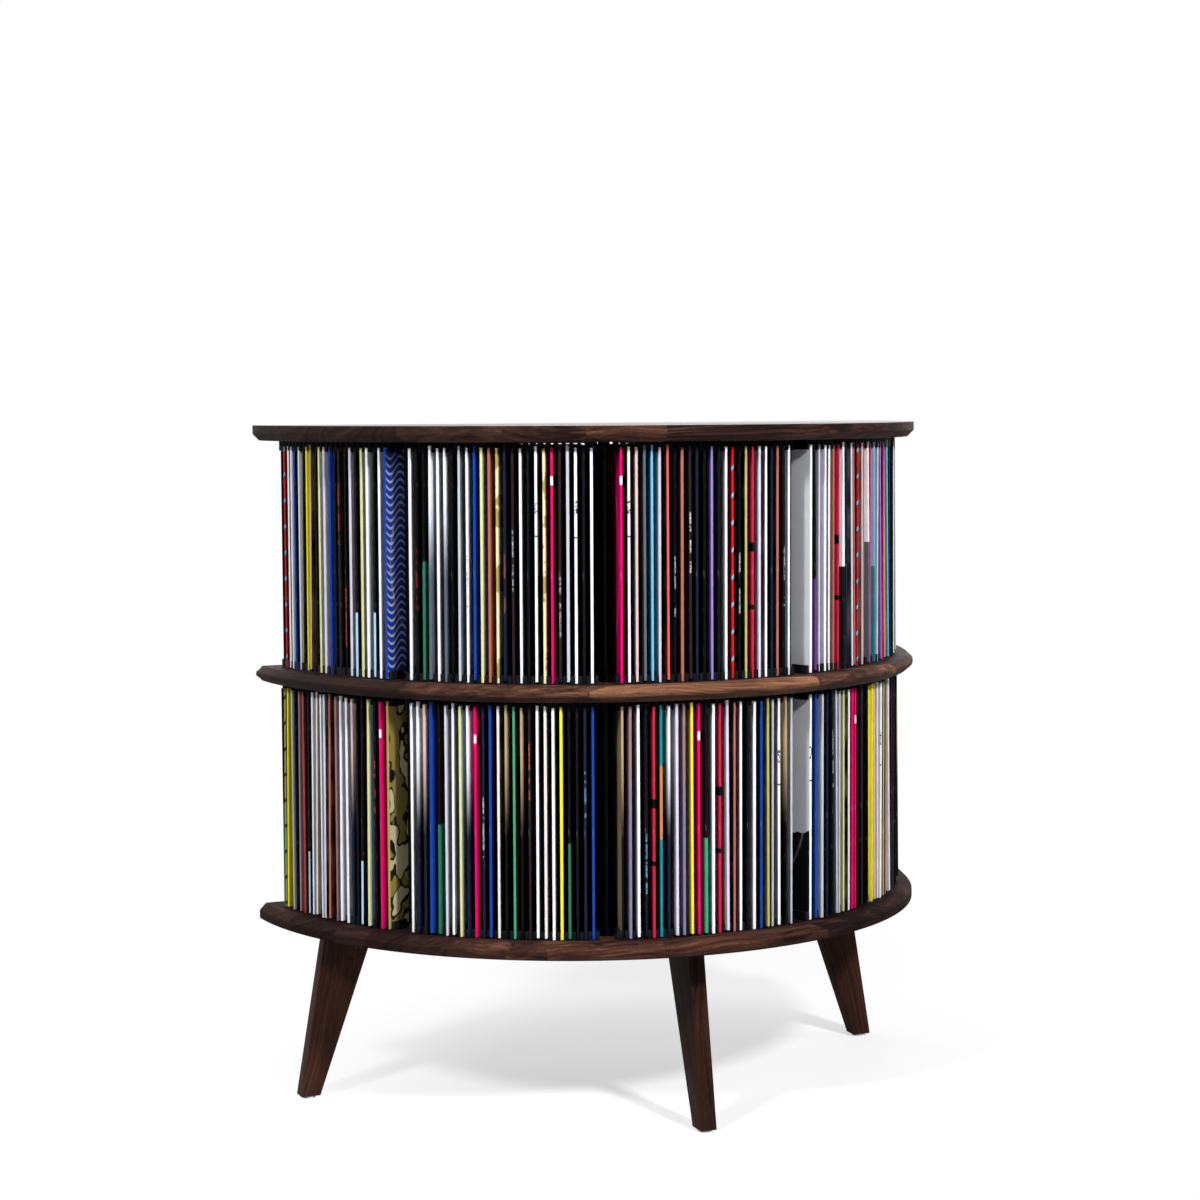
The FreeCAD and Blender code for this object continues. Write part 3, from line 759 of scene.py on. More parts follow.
@dataclass(frozen=True)
class PrintedCard(Finish):
    """Printed and varnished card of a record sleeve.

    The inks and the way they lie come from the mesh: "board" and "ink" are colours, "style" is the
    number of a Print, "seed" is the sleeve's own chance, and "card" is the place on the sleeve,
    across its thickness, back from the spine (below zero) and up from its foot. A pair that places
    the second ink is the middle and half the length of a mark, as shares of the sleeve's height.
    """

    name: str = "printed_card"
    cover: Cover = Cover.BARE
    sleeve: float = 0.315
    fold: float = 0.0012
    own_shift: float = 50.0
    title_half: float = 0.13
    title_column: float = 0.001
    word_scale: float = 75.0
    speck_scale: float = 900.0
    dot_scale: float = 450.0
    ticks: float = 8.5
    tick_slant: float = 25.0
    tick_share: float = 0.13
    mottle_scale: Pair = (60.0, 26.0)
    label: Pair = (0.86, 0.0185)
    band: Pair = (0.58, 0.16)
    dotted: Pair = (0.745, 0.03)
    rule: Pair = (0.62, 0.003)
    break_halves: Pair = (0.02, 0.01)
    tail_top: float = 0.28
    fade_ends: Pair = (0.42, 0.85)
    swell: float = 0.007
    stripe: float = 0.0105
    stripe_share: float = 0.34
    patch_scale: float = 26.0
    patch_outline: float = 0.022
    ridge_scale: float = 16.0
    ridge_rise: float = 0.09
    ridge_foot: float = 0.08
    # Scale of the clouds in the painted shade on a fan's faces.
    cloud_scale: float = 18.0
    soil: float = 0.12
    soil_scale: float = 30.0
    # Share of painted shade laid over a loose record's whole face.
    face_shade: float = 0.0
    rub: float = 0.25
    rub_scale: Triple = (400.0, 260.0, 60.0)
    rub_reach: float = 0.004
    ring_wear: float = 0.0
    ring_radius: float = 0.1485
    ring_width: float = 0.0035
    relief: float = 0.00004
    relief_scale: float = 1500.0
    gloss: float = 0.12
    outline: str = "1b1810"
    rubbed_card: str = "b9b6b4"
    grime: str = "101014"
    # The colour of the painted shade on the faces.
    shadowed: str = "08080b"

    def sockets(self, wires: Wiring) -> dict[str, Feed]:
        """Wires the card's colour, roughness and relief.

        Args:
            wires: The wiring of the material's tree.

        Returns:
            What feeds each socket of the shader.
        """
        card = wires.attribute("card", "Vector")
        board = wires.attribute("board", "Color")
        ink = wires.attribute("ink", "Color")
        seed = wires.attribute("seed", "Fac")
        across, back, height = wires.parts(card)
        depth = wires.product(back, -1.0)
        spine = wires.math("LESS_THAN", depth, self.fold)
        style = wires.attribute("style", "Fac")
        printed = self.second_ink(wires, across, height, spine, seed, style)
        colour = wires.mix(printed, board, ink)
        face = self.face(wires, colour, ink, depth, height, seed, style)
        # Painted shade laid over a loose record's whole face, for the dark between its neighbours.
        if self.face_shade:
            face = wires.mix(self.face_shade, face, linear(self.shadowed))
        colour = wires.mix(spine, face, colour)
        rubbed = wires.grain(card, self.rub_scale, 4.0, 0.65)
        near_fold = wires.spread(depth, 0.0, self.rub_reach, 1.0, 0.0)
        wear = wires.product(wires.spread(rubbed, 0.58, 0.76, 0.0, self.rub), near_fold)
        colour = wires.mix(wear, colour, linear(self.rubbed_card))
        cloud = wires.noise(card, self.soil_scale, 3.0)
        colour = wires.mix(wires.spread(cloud, 0.3, 0.7, 0.0, self.soil), colour, linear(self.grime))
        if self.ring_wear:
            ring = self.disc_print(wires, depth, height, rubbed)
            colour = wires.mix(ring, colour, linear(self.rubbed_card))
        fibre = wires.noise(card, self.relief_scale, 2.0, 0.6)
        return {
            "Base Color": colour,
            "Roughness": wires.total(wires.product(seed, 0.22), wires.product(rubbed, 0.12), 0.34),
            "Normal": wires.bump(fibre, self.relief),
            "Specular IOR Level": self.gloss,
        }

    def disc_print(self, wires: Wiring, depth: Plug, height: Plug, rubbed: Plug) -> Plug:
        """Finds where the disc inside has rubbed its round edge through the face.

        Args:
            wires: The wiring of the tree.
            depth: Place back from the spine.
            height: Place up from the sleeve's foot.
            rubbed: Noise that breaks the wear up.

        Returns:
            How far the wear shows.
        """
        aside = wires.math("SUBTRACT", depth, self.sleeve / 2)
        above = wires.math("SUBTRACT", height, self.sleeve / 2)
        off = wires.math("ABSOLUTE", wires.math("SUBTRACT", wires.length(aside, above), self.ring_radius))
        ring = wires.spread(off, 0.0, self.ring_width, self.ring_wear, 0.0)
        return wires.product(ring, wires.spread(rubbed, 0.35, 0.65, 0.15, 1.0))

    def second_ink(
        self,
        wires: Wiring,
        across: Plug,
        height: Plug,
        spine: Plug,
        seed: Plug,
        style: Plug,
    ) -> Plug:
        """Finds where the second ink lies, for each style of print.

        Args:
            wires: The wiring of the tree.
            across: Place across the sleeve's thickness.
            height: Place up from the sleeve's foot.
            spine: 1 on the spine and 0 on the faces.
            seed: The sleeve's own chance.
            style: The number of the sleeve's style.

        Returns:
            The second ink's share.
        """
        up = wires.math("DIVIDE", height, self.sleeve)
        title = wires.total(wires.product(seed, 0.5), 0.25)
        split = wires.total(wires.product(seed, 0.2), 0.35)
        breaks = [wires.total(wires.product(seed, 0.16), lowest) for lowest in (0.55, 0.29)]
        fade = wires.spread(up, *self.fade_ends, 1.0, 0.0)
        own = wires.product(seed, self.own_shift)
        spot = wires.joined(across, own, height)
        gaps = wires.noise(wires.joined(own, 0.0, height), self.word_scale, 1.0)
        words = wires.math("GREATER_THAN", gaps, 0.46)
        specks = wires.spread(wires.noise(spot, self.speck_scale, 1.0), 0.46, 0.54, 0.0, 0.8)
        column = wires.near(across, 0.0, self.title_column)
        dots = wires.math("GREATER_THAN", wires.noise(spot, self.dot_scale, 1.0), 0.52)
        dotted = wires.product(wires.near(up, *self.dotted), dots)
        slant = wires.total(wires.product(up, self.ticks), wires.product(across, self.tick_slant), seed)
        tick = wires.math("LESS_THAN", wires.math("FRACT", slant), self.tick_share)
        aside, upward = self.mottle_scale
        patches = wires.joined(wires.product(across, aside), seed, wires.product(height, upward))
        wobble = wires.noise(patches, 1.0, 3.0)
        masks = {
            Print.TITLE: wires.product(
                wires.near(up, title, self.title_half), words, specks, column, spine
            ),
            Print.TICKS: wires.product(tick, spine),
            Print.LABEL: wires.product(wires.near(up, *self.label), spine),
            Print.SPLIT: wires.math("LESS_THAN", up, split),
            Print.FADE: fade,
            Print.MOTTLE: wires.spread(wobble, 0.5, 0.54, 0.0, 1.0),
            Print.BREAKS: wires.math("MAXIMUM", *[
                wires.near(up, middle, half) for middle, half in zip(breaks, self.break_halves)
            ]),
            Print.SPECKS: wires.product(wires.math("MAXIMUM", dotted, wires.near(up, *self.rule)), spine),
            Print.TAIL: wires.product(wires.math("LESS_THAN", up, self.tail_top), spine),
            Print.BAND: wires.product(wires.near(up, *self.band), spine),
            Print.BLUSH: wires.product(fade, spine),
            Print.FACED: wires.math("SUBTRACT", 1.0, spine),
        }
        return wires.total(*[
            wires.product(mask, wires.near(style, float(kind.value), 0.4)) for kind, mask in masks.items()
        ])

    def face(
        self,
        wires: Wiring,
        board: Plug,
        ink: Plug,
        depth: Plug,
        height: Plug,
        seed: Plug,
        style: Plug,
    ) -> Plug:
        """Draws the plain design of a face, or the painted shade on the faces of a packed fan.

        Args:
            wires: The wiring of the tree.
            board: The colour below the design.
            ink: The colour of the design.
            depth: Place back from the spine.
            height: Place up from the sleeve's foot.
            seed: The sleeve's own chance.
            style: The number of the sleeve's style.

        Returns:
            The face's colour.
        """
        if self.cover is Cover.WAVES:
            swell = wires.product(wires.math("SINE", wires.math("DIVIDE", depth, self.swell)), self.swell)
            stripe = wires.math("FRACT", wires.math("DIVIDE", wires.total(height, swell), self.stripe))
            crest = wires.mix(0.2, ink, board)
            return wires.mix(wires.math("LESS_THAN", stripe, self.stripe_share), board, crest)
        if self.cover is Cover.MARBLE:
            veins = wires.noise(wires.joined(depth, 0.0, height), self.patch_scale, 1.5)
            patched = wires.mix(wires.math("GREATER_THAN", veins, 0.5), board, ink)
            return wires.mix(wires.near(veins, 0.5, self.patch_outline), patched, linear(self.outline))
        if self.cover is Cover.DUSK:
            peaks = wires.noise(wires.joined(depth, 0.0, 0.0), self.ridge_scale)
            ridge = wires.total(wires.product(peaks, self.ridge_rise), self.ridge_foot)
            return wires.mix(wires.math("LESS_THAN", height, ridge), board, ink)
        # Painted shade: the faces of a packed fan are darkened in clouds, for the dark between the sleeves.
        if self.cover is Cover.CLOUDED:
            own = wires.math("FRACT", wires.product(seed, 7.3))
            spot = wires.joined(depth, wires.product(seed, self.own_shift), height)
            cloud = wires.noise(spot, self.cloud_scale, 3.0)
            weight = wires.spread(own, 0.2, 0.8, 0.5, 1.0)
            unprinted = wires.math("LESS_THAN", style, Print.BLUSH.value + 0.5)
            share = wires.product(weight, wires.spread(cloud, 0.35, 0.65, 0.85, 1.0), unprinted)
            return wires.mix(share, board, linear(self.shadowed))
        return board


@dataclass(frozen=True)
class PressedVinyl(Finish):
    """Glossy black of a pressed record, with its grooves."""

    name: str = "pressed_vinyl"
    groove: float = 0.0006
    ripple_scale: float = 900.0
    relief: float = 0.00004
    roughness: Pair = (0.16, 0.3)
    dark: str = "08080a"
    sheen: str = "131316"

    def sockets(self, wires: Wiring) -> dict[str, Feed]:
        """Wires the vinyl's colour, roughness and relief.

        Args:
            wires: The wiring of the material's tree.

        Returns:
            What feeds each socket of the shader.
        """
        reach = wires.attribute("reach", "Fac")
        wave = wires.math("SINE", wires.product(reach, 2 * math.pi / self.groove))
        ripple = wires.noise(wires.joined(reach, 0.0, 0.0), self.ripple_scale)
        return {
            "Base Color": wires.mix(ripple, linear(self.dark), linear(self.sheen)),
            "Roughness": wires.spread(ripple, 0.2, 0.8, *self.roughness),
            "Normal": wires.bump(wires.total(wave, ripple), self.relief),
        }


@dataclass(frozen=True)
class RackPlan:
    """The half-round plan of the rack, read from its top shelf."""

    centre: Vector
    radius: float

    @classmethod
    def read(cls) -> "RackPlan":
        """Works out the arc of the front edge from the top shelf's box.

        Returns:
            The plan.
        """
        low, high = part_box("shelf_top")
        half = (high.x - low.x) / 2
        depth = high.y - low.y
        radius = (half * half + depth * depth) / (2 * depth)
        return cls(Vector(((low.x + high.x) / 2, low.y + radius, 0.0)), radius)

    def reach(self, point: Vector) -> float:
        """Distance of a point from the arc's axis."""
        return (point - self.centre).to_2d().length


@dataclass(frozen=True)
class Slab:
    """Where one sleeve stands: its way outward, its spine, its foot and its size."""

    outward: Vector
    spine: float
    foot: float
    depth: float
    height: float
    thick: float

    @classmethod
    def read(cls, plan: RackPlan, corners: list[Vector]) -> "Slab":
        """Measures a sleeve's solid.

        Args:
            plan: The rack's plan.
            corners: The solid's corners.

        Returns:
            The sleeve's place and size.
        """
        middle = sum(corners, Vector()) / len(corners) - plan.centre
        outward = Vector((middle.x, middle.y, 0.0)).normalized()
        beside = Vector((-outward.y, outward.x, 0.0))
        reaches = [(corner - plan.centre).dot(outward) for corner in corners]
        sides = [(corner - plan.centre).dot(beside) for corner in corners]
        heights = [corner.z for corner in corners]
        return cls(
            outward, max(reaches), min(heights), max(reaches) - min(reaches),
            max(heights) - min(heights), max(sides) - min(sides),
        )

    @property
    def bearing(self) -> float:
        """Angle around the rack, from its left end by the front to its right end."""
        return math.atan2(-self.outward.y, -self.outward.x)

    @property
    def heading(self) -> float:
        """Turn about Z that brings a sleeve's own Y axis to its way outward."""
        return math.atan2(self.outward.y, self.outward.x) - math.pi / 2


def merged(node: str) -> bmesh.types.BMesh:
    """Copies a node's mesh with its loose triangles joined.

    Args:
        node: The node's name.

    Returns:
        The joined copy.
    """
    shape = bmesh.new()
    shape.from_mesh(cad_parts[node].data)
    bmesh.ops.remove_doubles(shape, verts=shape.verts, dist=MERGE_DISTANCE)
    return shape


def solids(node: str) -> list[list[Vector]]:
    """Finds the separate solids of a node.

    Args:
        node: The node's name.

    Returns:
        The corners of each solid.
    """
    shape = merged(node)
    waiting = set(shape.verts)
    groups = []
    while waiting:
        open_ends = [waiting.pop()]
        group = []
        while open_ends:
            vert = open_ends.pop()
            group.append(vert.co.copy())
            linked = {edge.other_vert(vert) for edge in vert.link_edges} & waiting
            waiting -= linked
            open_ends.extend(linked)
        groups.append(group)
    shape.free()
    return groups


def mesh_of(shape: bmesh.types.BMesh, name: str, finish: bpy.types.Material) -> bpy.types.Mesh:
    """Turns a finished shape into a mesh with one material.

    Args:
        shape: The shape, which is freed.
        name: The mesh's name.
        finish: Its material.

    Returns:
        The mesh, with smooth faces and sharp edges.
    """
    mesh = bpy.data.meshes.new(name)
    shape.to_mesh(mesh)
    shape.free()
    if "custom_normal" in mesh.attributes:
        mesh.attributes.remove(mesh.attributes["custom_normal"])
    mesh.shade_smooth()
    mesh.set_sharp_from_angle(angle=SMOOTH_ANGLE)
    mesh.materials.append(finish)
    return mesh


def add_piece(mesh: bpy.types.Mesh, body: str, slot: str, *nodes: str) -> bpy.types.Object:
    """Adds a piece that rides on a body.

    Args:
        mesh: The piece's mesh, in place.
        body: The body that carries it.
        slot: The material slot of the record; not used.
        *nodes: The nodes that it stands for.

    Returns:
        The piece.
    """
    piece = bpy.data.objects.new(mesh.name, mesh)
    bpy.context.scene.collection.objects.link(piece)
    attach(piece, body)
    if nodes:
        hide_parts(*nodes)
    LOG.info("%s: %d faces on %s", piece.name, len(mesh.polygons), body)
    return piece


def dress(node: str, finish: bpy.types.Material) -> None:
    """Gives a node of the frame its finish.

    Args:
        node: The node's name.
        finish: Its material.
    """
    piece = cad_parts[node]
    if not piece.material_slots:
        piece.data.materials.append(finish)
    for slot in piece.material_slots:
        slot.material = finish
    LOG.info("%s: dressed in %s", node, finish.name)


class GrowthTree:
    """A geometry tree with named inputs, which grows a mesh from a carrier."""

    def __init__(self, name: str, inputs: dict[str, str]) -> None:
        """Starts the tree.

        Args:
            name: The tree's name.
            inputs: The type of each input, by name.
        """
        self.tree = bpy.data.node_groups.new(name, "GeometryNodeTree")
        self.wires = Wiring(self.tree)
        face = self.tree.interface
        face.new_socket("Geometry", in_out="INPUT", socket_type="NodeSocketGeometry")
        self.keys = {
            key: face.new_socket(key, in_out="INPUT", socket_type=kind).identifier
            for key, kind in inputs.items()
        }
        face.new_socket("Geometry", in_out="OUTPUT", socket_type="NodeSocketGeometry")
        self.source = self.wires.node("NodeGroupInput")

    def take(self, name: str) -> Plug:
        """Gives the socket of a named input."""
        return self.source.outputs[name]

    def named_vector(self, name: str) -> Plug:
        """Reads a vector that the carrier's points hold."""
        made = self.wires.node("GeometryNodeInputNamedAttribute", {"Name": name}, data_type="FLOAT_VECTOR")
        return made.outputs["Attribute"]

    def named_turn(self) -> Plug:
        """Reads the turn that the carrier's points hold, in radians about each axis."""
        return self.wires.node("FunctionNodeEulerToRotation", {0: self.named_vector("turn")}).outputs[0]

    def close(self, instances: Plug) -> None:
        """Ends the tree: the instances become one mesh with the finish.

        Args:
            instances: What the tree has placed.
        """
        real = self.wires.node("GeometryNodeRealizeInstances", {"Geometry": instances}).outputs[0]
        worn = {"Geometry": real, "Material": self.take("Finish")}
        dressed = self.wires.node("GeometryNodeSetMaterial", worn).outputs[0]
        self.wires.node("NodeGroupOutput", {0: dressed})

    def grow(self, carrier: bpy.types.Mesh, name: str, values: dict[str, Feed]) -> bpy.types.Mesh:
        """Runs the tree on a carrier.

        Args:
            carrier: The points, with their attributes.
            name: The name of the grown mesh.
            values: The value of each input.

        Returns:
            A plain mesh, with its faces turned outwards.
        """
        holder = bpy.data.objects.new(f"{name}_points", carrier)
        bpy.context.scene.collection.objects.link(holder)
        modifier = holder.modifiers.new("growth", "NODES")
        modifier.node_group = self.tree
        for key, value in values.items():
            modifier[self.keys[key]] = value
        graph = bpy.context.evaluated_depsgraph_get()
        mesh = bpy.data.meshes.new_from_object(holder.evaluated_get(graph))
        holder.modifiers.remove(modifier)
        bpy.data.objects.remove(holder)
        shape = bmesh.new()
        shape.from_mesh(mesh)
        bmesh.ops.recalc_face_normals(shape, faces=shape.faces)
        shape.to_mesh(mesh)
        shape.free()
        mesh.name = name
        return mesh


def point_cloud(name: str, places: list[Vector], vectors: dict[str, list[Vector]]) -> bpy.types.Mesh:
    """Makes loose points that carry vectors.

    Args:
        name: The mesh's name.
        places: The points.
        vectors: For each attribute, its vector at every point.

    Returns:
        The mesh.
    """
    mesh = bpy.data.meshes.new(name)
    mesh.from_pydata(places, [], [])
    for key, values in vectors.items():
        layer = mesh.attributes.new(key, "FLOAT_VECTOR", "POINT")
        for item, value in zip(layer.data, values):
            item.vector = value
    return mesh


@dataclass(frozen=True)
class EdgeWork:
    """How a board's edges are worked: the ease of their corners, and the least height of a shelf's nose."""

    ease: float
    nose: float = 0.0


@dataclass
class Woodwork:
    """The walnut shelves and legs, with their edges eased."""

    plan: RackPlan
    leg_edge: EdgeWork = EdgeWork(0.0011)
    rim: float = 0.0115
    tip: float = 0.0002
    least_leg_edge: float = 0.015
    ease_steps: int = 3
    sharp: float = math.radians(25)
    flat: float = math.radians(0.05)
    # The middle and bottom shelves get painted shade on their upright and downward faces.
    shelves: tuple[tuple[Walnut, EdgeWork], ...] = (
        (Walnut("shelf_top", 2619.0, tone=-0.22, polish=0.2), EdgeWork(0.0009)),
        (
            Walnut("shelf_middle", 2530.0, tone=0.04, underside_shade=0.7, cut="35251f"),
            EdgeWork(0.001, nose=0.0055),
        ),
        (
            Walnut("shelf_bottom", 633.0, tone=-0.17, streak_spread=1.1, gloss=0.02, underside_shade=0.7),
            EdgeWork(0.0012),
        ),
    )
    leg_woods: tuple[Walnut, ...] = (
        Walnut("leg_left", 21.0),
        Walnut("leg_front", 27.0, tone=-0.26),
        Walnut("leg_right", 33.0, tone=-0.14),
    )

    def build(self) -> None:
        """Builds the shelves and the legs."""
        for wood, edge_work in self.shelves:
            self.board(wood, edge_work, self.on_rim)
        for wood in self.leg_woods:
            self.board(self.along_leg(wood), self.leg_edge, self.on_leg)

    def along_leg(self, wood: Walnut) -> Walnut:
        """Turns the grain along a leg.

        Args:
            wood: The leg's seed and tone.

        Returns:
            The leg's wood, of one dark board.
        """
        shape = merged(wood.piece)
        heights = [vert.co.z for vert in shape.verts]
        middle = (min(heights) + max(heights)) / 2
        foot = self.middle_of([vert.co for vert in shape.verts if vert.co.z < middle])
        top = self.middle_of([vert.co for vert in shape.verts if vert.co.z > middle])
        shape.free()
        turn = (top - foot).rotation_difference(Vector((1.0, 0.0, 0.0))).to_euler()
        return replace(
            wood, turn=tuple(turn), stave_width=2.0, stave_length=4.0, stave_offset=1.0,
            tone_spread=0.0, drift_spread=0.3, streak_spread=0.85, end_shade=0.0,
            dark="1e120d", middle="3e261e", pale="634233",
        )

    def middle_of(self, points: list[Vector]) -> Vector:
        """Gives the middle of the box around some points."""
        spans = [[point[axis] for point in points] for axis in range(3)]
        return Vector([(min(span) + max(span)) / 2 for span in spans])

    def on_rim(self, edge: bmesh.types.BMEdge) -> bool:
        """Tells whether an edge runs along the shelf's front."""
        return all(self.plan.reach(vert.co) > self.plan.radius - self.rim for vert in edge.verts)

    def on_leg(self, edge: bmesh.types.BMEdge) -> bool:
        """Tells whether an edge is one of the leg's long ones."""
        return edge.calc_length() > self.least_leg_edge

    def blunt(self, shape: bmesh.types.BMesh, nose: float) -> None:
        """Gives the upright strip between two bevels its least height.

        Args:
            shape: The shelf, which is changed.
            nose: The strip's least height.
        """
        heights = [vert.co.z for vert in shape.verts]
        middle = (min(heights) + max(heights)) / 2
        for vert in shape.verts:
            rise = vert.co.z - middle
            if abs(rise) < nose / 2 and self.plan.reach(vert.co) > self.plan.radius - self.tip:
                vert.co.z = middle + math.copysign(nose / 2, rise)

    def board(
        self, wood: Walnut, edge_work: EdgeWork, chosen: Callable[[bmesh.types.BMEdge], bool]
    ) -> None:
        """Builds one board, a copy of its node with the sharp edges eased.

        Args:
            wood: The board's wood, which names its node.
            edge_work: How its edges are worked.
            chosen: Tells which edges are eased.
        """
        shape = merged(wood.piece)
        bmesh.ops.dissolve_limit(shape, angle_limit=self.flat, verts=shape.verts, edges=shape.edges)
        self.blunt(shape, edge_work.nose)
        edges = [
            edge for edge in shape.edges
            if edge.is_manifold and edge.calc_face_angle() > self.sharp and chosen(edge)
        ]
        bmesh.ops.bevel(
            shape, geom=edges, offset=edge_work.ease, offset_type="OFFSET", segments=self.ease_steps,
            profile=0.5, affect="EDGES", clamp_overlap=False,
        )
        mesh = mesh_of(shape, f"{wood.piece}_wood", wood.material())
        add_piece(mesh, RACK, "walnut", wood.piece)


@dataclass
class Fittings:
    """Combs, panels, dividers, holders, screws and foot pads."""

    head_radius: float = 0.0035
    head_crown: float = 0.0026
    head_height: float = 0.002
    socket_radius: float = 0.0016
    socket_depth: float = 0.0012
    shank_radius: float = 0.0017
    sides: int = 28

    def build(self) -> None:
        """Dresses the fittings and builds the screws that show."""
        board = BlackBoard().material()
        veneer = BlackBoard("black_veneer", "08080a", sheen="1b1b1f", grain=1.0, gloss=0.2).material()
        # One black plastic in two copies: the ceiling combs' copy is painted darker and duller, a painted
        # shade for the overhang of the shelf above.
        moulding = BlackMoulding().material()
        shaded_moulding = BlackMoulding("black_moulding_painted_shade", "030304", worn="070709", gloss=0.06).material()
        for tier in TIERS:
            dress(f"core_wall_{tier}", veneer)
            for end in ENDS:
                dress(f"end_panel_{tier}_{end}", veneer)
            for number in SECTORS[:-1]:
                dress(f"divider_{tier}_{number}", board)
            for sector in SECTORS:
                dress(f"comb_{tier}_floor_{sector}", moulding)
                dress(f"comb_{tier}_ceiling_{sector}", shaded_moulding)
        dress("divider_holders", moulding)
        dress("leg_screws", ScrewSteel("zinc_steel", "9a9a98", roughness=0.3).material())
        dress("foot_glides", PaleFelt().material())
        self.panel_screws(ScrewSteel("black_steel", "1b1b1d", roughness=0.38).material())

    @property
    def screw_sizes(self) -> dict[str, float]:
        """The sizes of a panel screw, by the names of its tree's inputs."""
        return {
            "Head Radius": self.head_radius,
            "Crown Radius": self.head_crown,
            "Head Height": self.head_height,
            "Socket Radius": self.socket_radius,
            "Socket Depth": self.socket_depth,
            "Shank Radius": self.shank_radius,
        }

    def panel_screws(self, steel: bpy.types.Material) -> None:
        """Builds the end panels' screws, with a hexagon socket in each head.

        Args:
            steel: Their material.
        """
        tree = self.screw_tree()
        heads = []
        length = 0.0
        for corners in solids("end_panel_screws"):
            back = max(corner.y for corner in corners)
            length = back - min(corner.y for corner in corners)
            middle = sum(corners, Vector()) / len(corners)
            heads.append(Vector((middle.x, back, middle.z)))
        # Each screw was driven home to a turn of its own.
        turns = [Vector((-math.pi / 2, float(number), 0.0)) for number in range(len(heads))]
        carrier = point_cloud("panel_screw_heads", heads, {"turn": turns})
        values = self.screw_sizes | {"Length": length, "Sides": self.sides, "Finish": steel}
        mesh = tree.grow(carrier, "panel_screws", values)
        add_piece(mesh, RACK, "black_screw", "end_panel_screws")

    def screw_tree(self) -> GrowthTree:
        """Builds the tree that sets a socket screw at each point, its head along Z.

        Returns:
            The tree.
        """
        kinds = dict.fromkeys([*self.screw_sizes, "Length"], "NodeSocketFloat")
        kinds |= {"Sides": "NodeSocketInt", "Finish": "NodeSocketMaterial"}
        growth = GrowthTree("socket_screws", kinds)
        wires, take = growth.wires, growth.take
        head = wires.node("GeometryNodeMeshCone", {
            "Vertices": take("Sides"),
            "Radius Top": take("Crown Radius"),
            "Radius Bottom": take("Head Radius"),
            "Depth": take("Head Height"),
        }).outputs["Mesh"]
        head = self.shifted(wires, head, wires.product(take("Head Height"), -1.0))
        twice_deep = wires.product(take("Socket Depth"), 2.0)
        socket = wires.node("GeometryNodeMeshCylinder", {
            "Vertices": 6, "Radius": take("Socket Radius"), "Depth": twice_deep,
        }).outputs["Mesh"]
        both = {"Mesh 1": head, "Mesh 2": socket}
        cut = wires.node("GeometryNodeMeshBoolean", both, operation="DIFFERENCE")
        shank_length = wires.math("SUBTRACT", take("Length"), take("Head Height"))
        shank = wires.node("GeometryNodeMeshCylinder", {
            "Vertices": take("Sides"), "Radius": take("Shank Radius"), "Depth": shank_length,
        }).outputs["Mesh"]
        fall = wires.total(wires.product(shank_length, -0.5), wires.product(take("Head Height"), -1.0))
        screw = wires.node("GeometryNodeJoinGeometry")
        wires.feed(screw.inputs[0], self.shifted(wires, shank, fall))
        wires.feed(screw.inputs[0], cut.outputs["Mesh"])
        placed = wires.node("GeometryNodeInstanceOnPoints", {
            "Points": take("Geometry"), "Instance": screw.outputs[0], "Rotation": growth.named_turn(),
        })
        growth.close(placed.outputs[0])
        return growth

    def shifted(self, wires: Wiring, part: Plug, rise: Plug) -> Plug:
        """Moves a part of the screw along Z."""
        lift = wires.joined(0.0, 0.0, rise)
        return wires.node("GeometryNodeTransform", {"Geometry": part, "Translation": lift}).outputs[0]


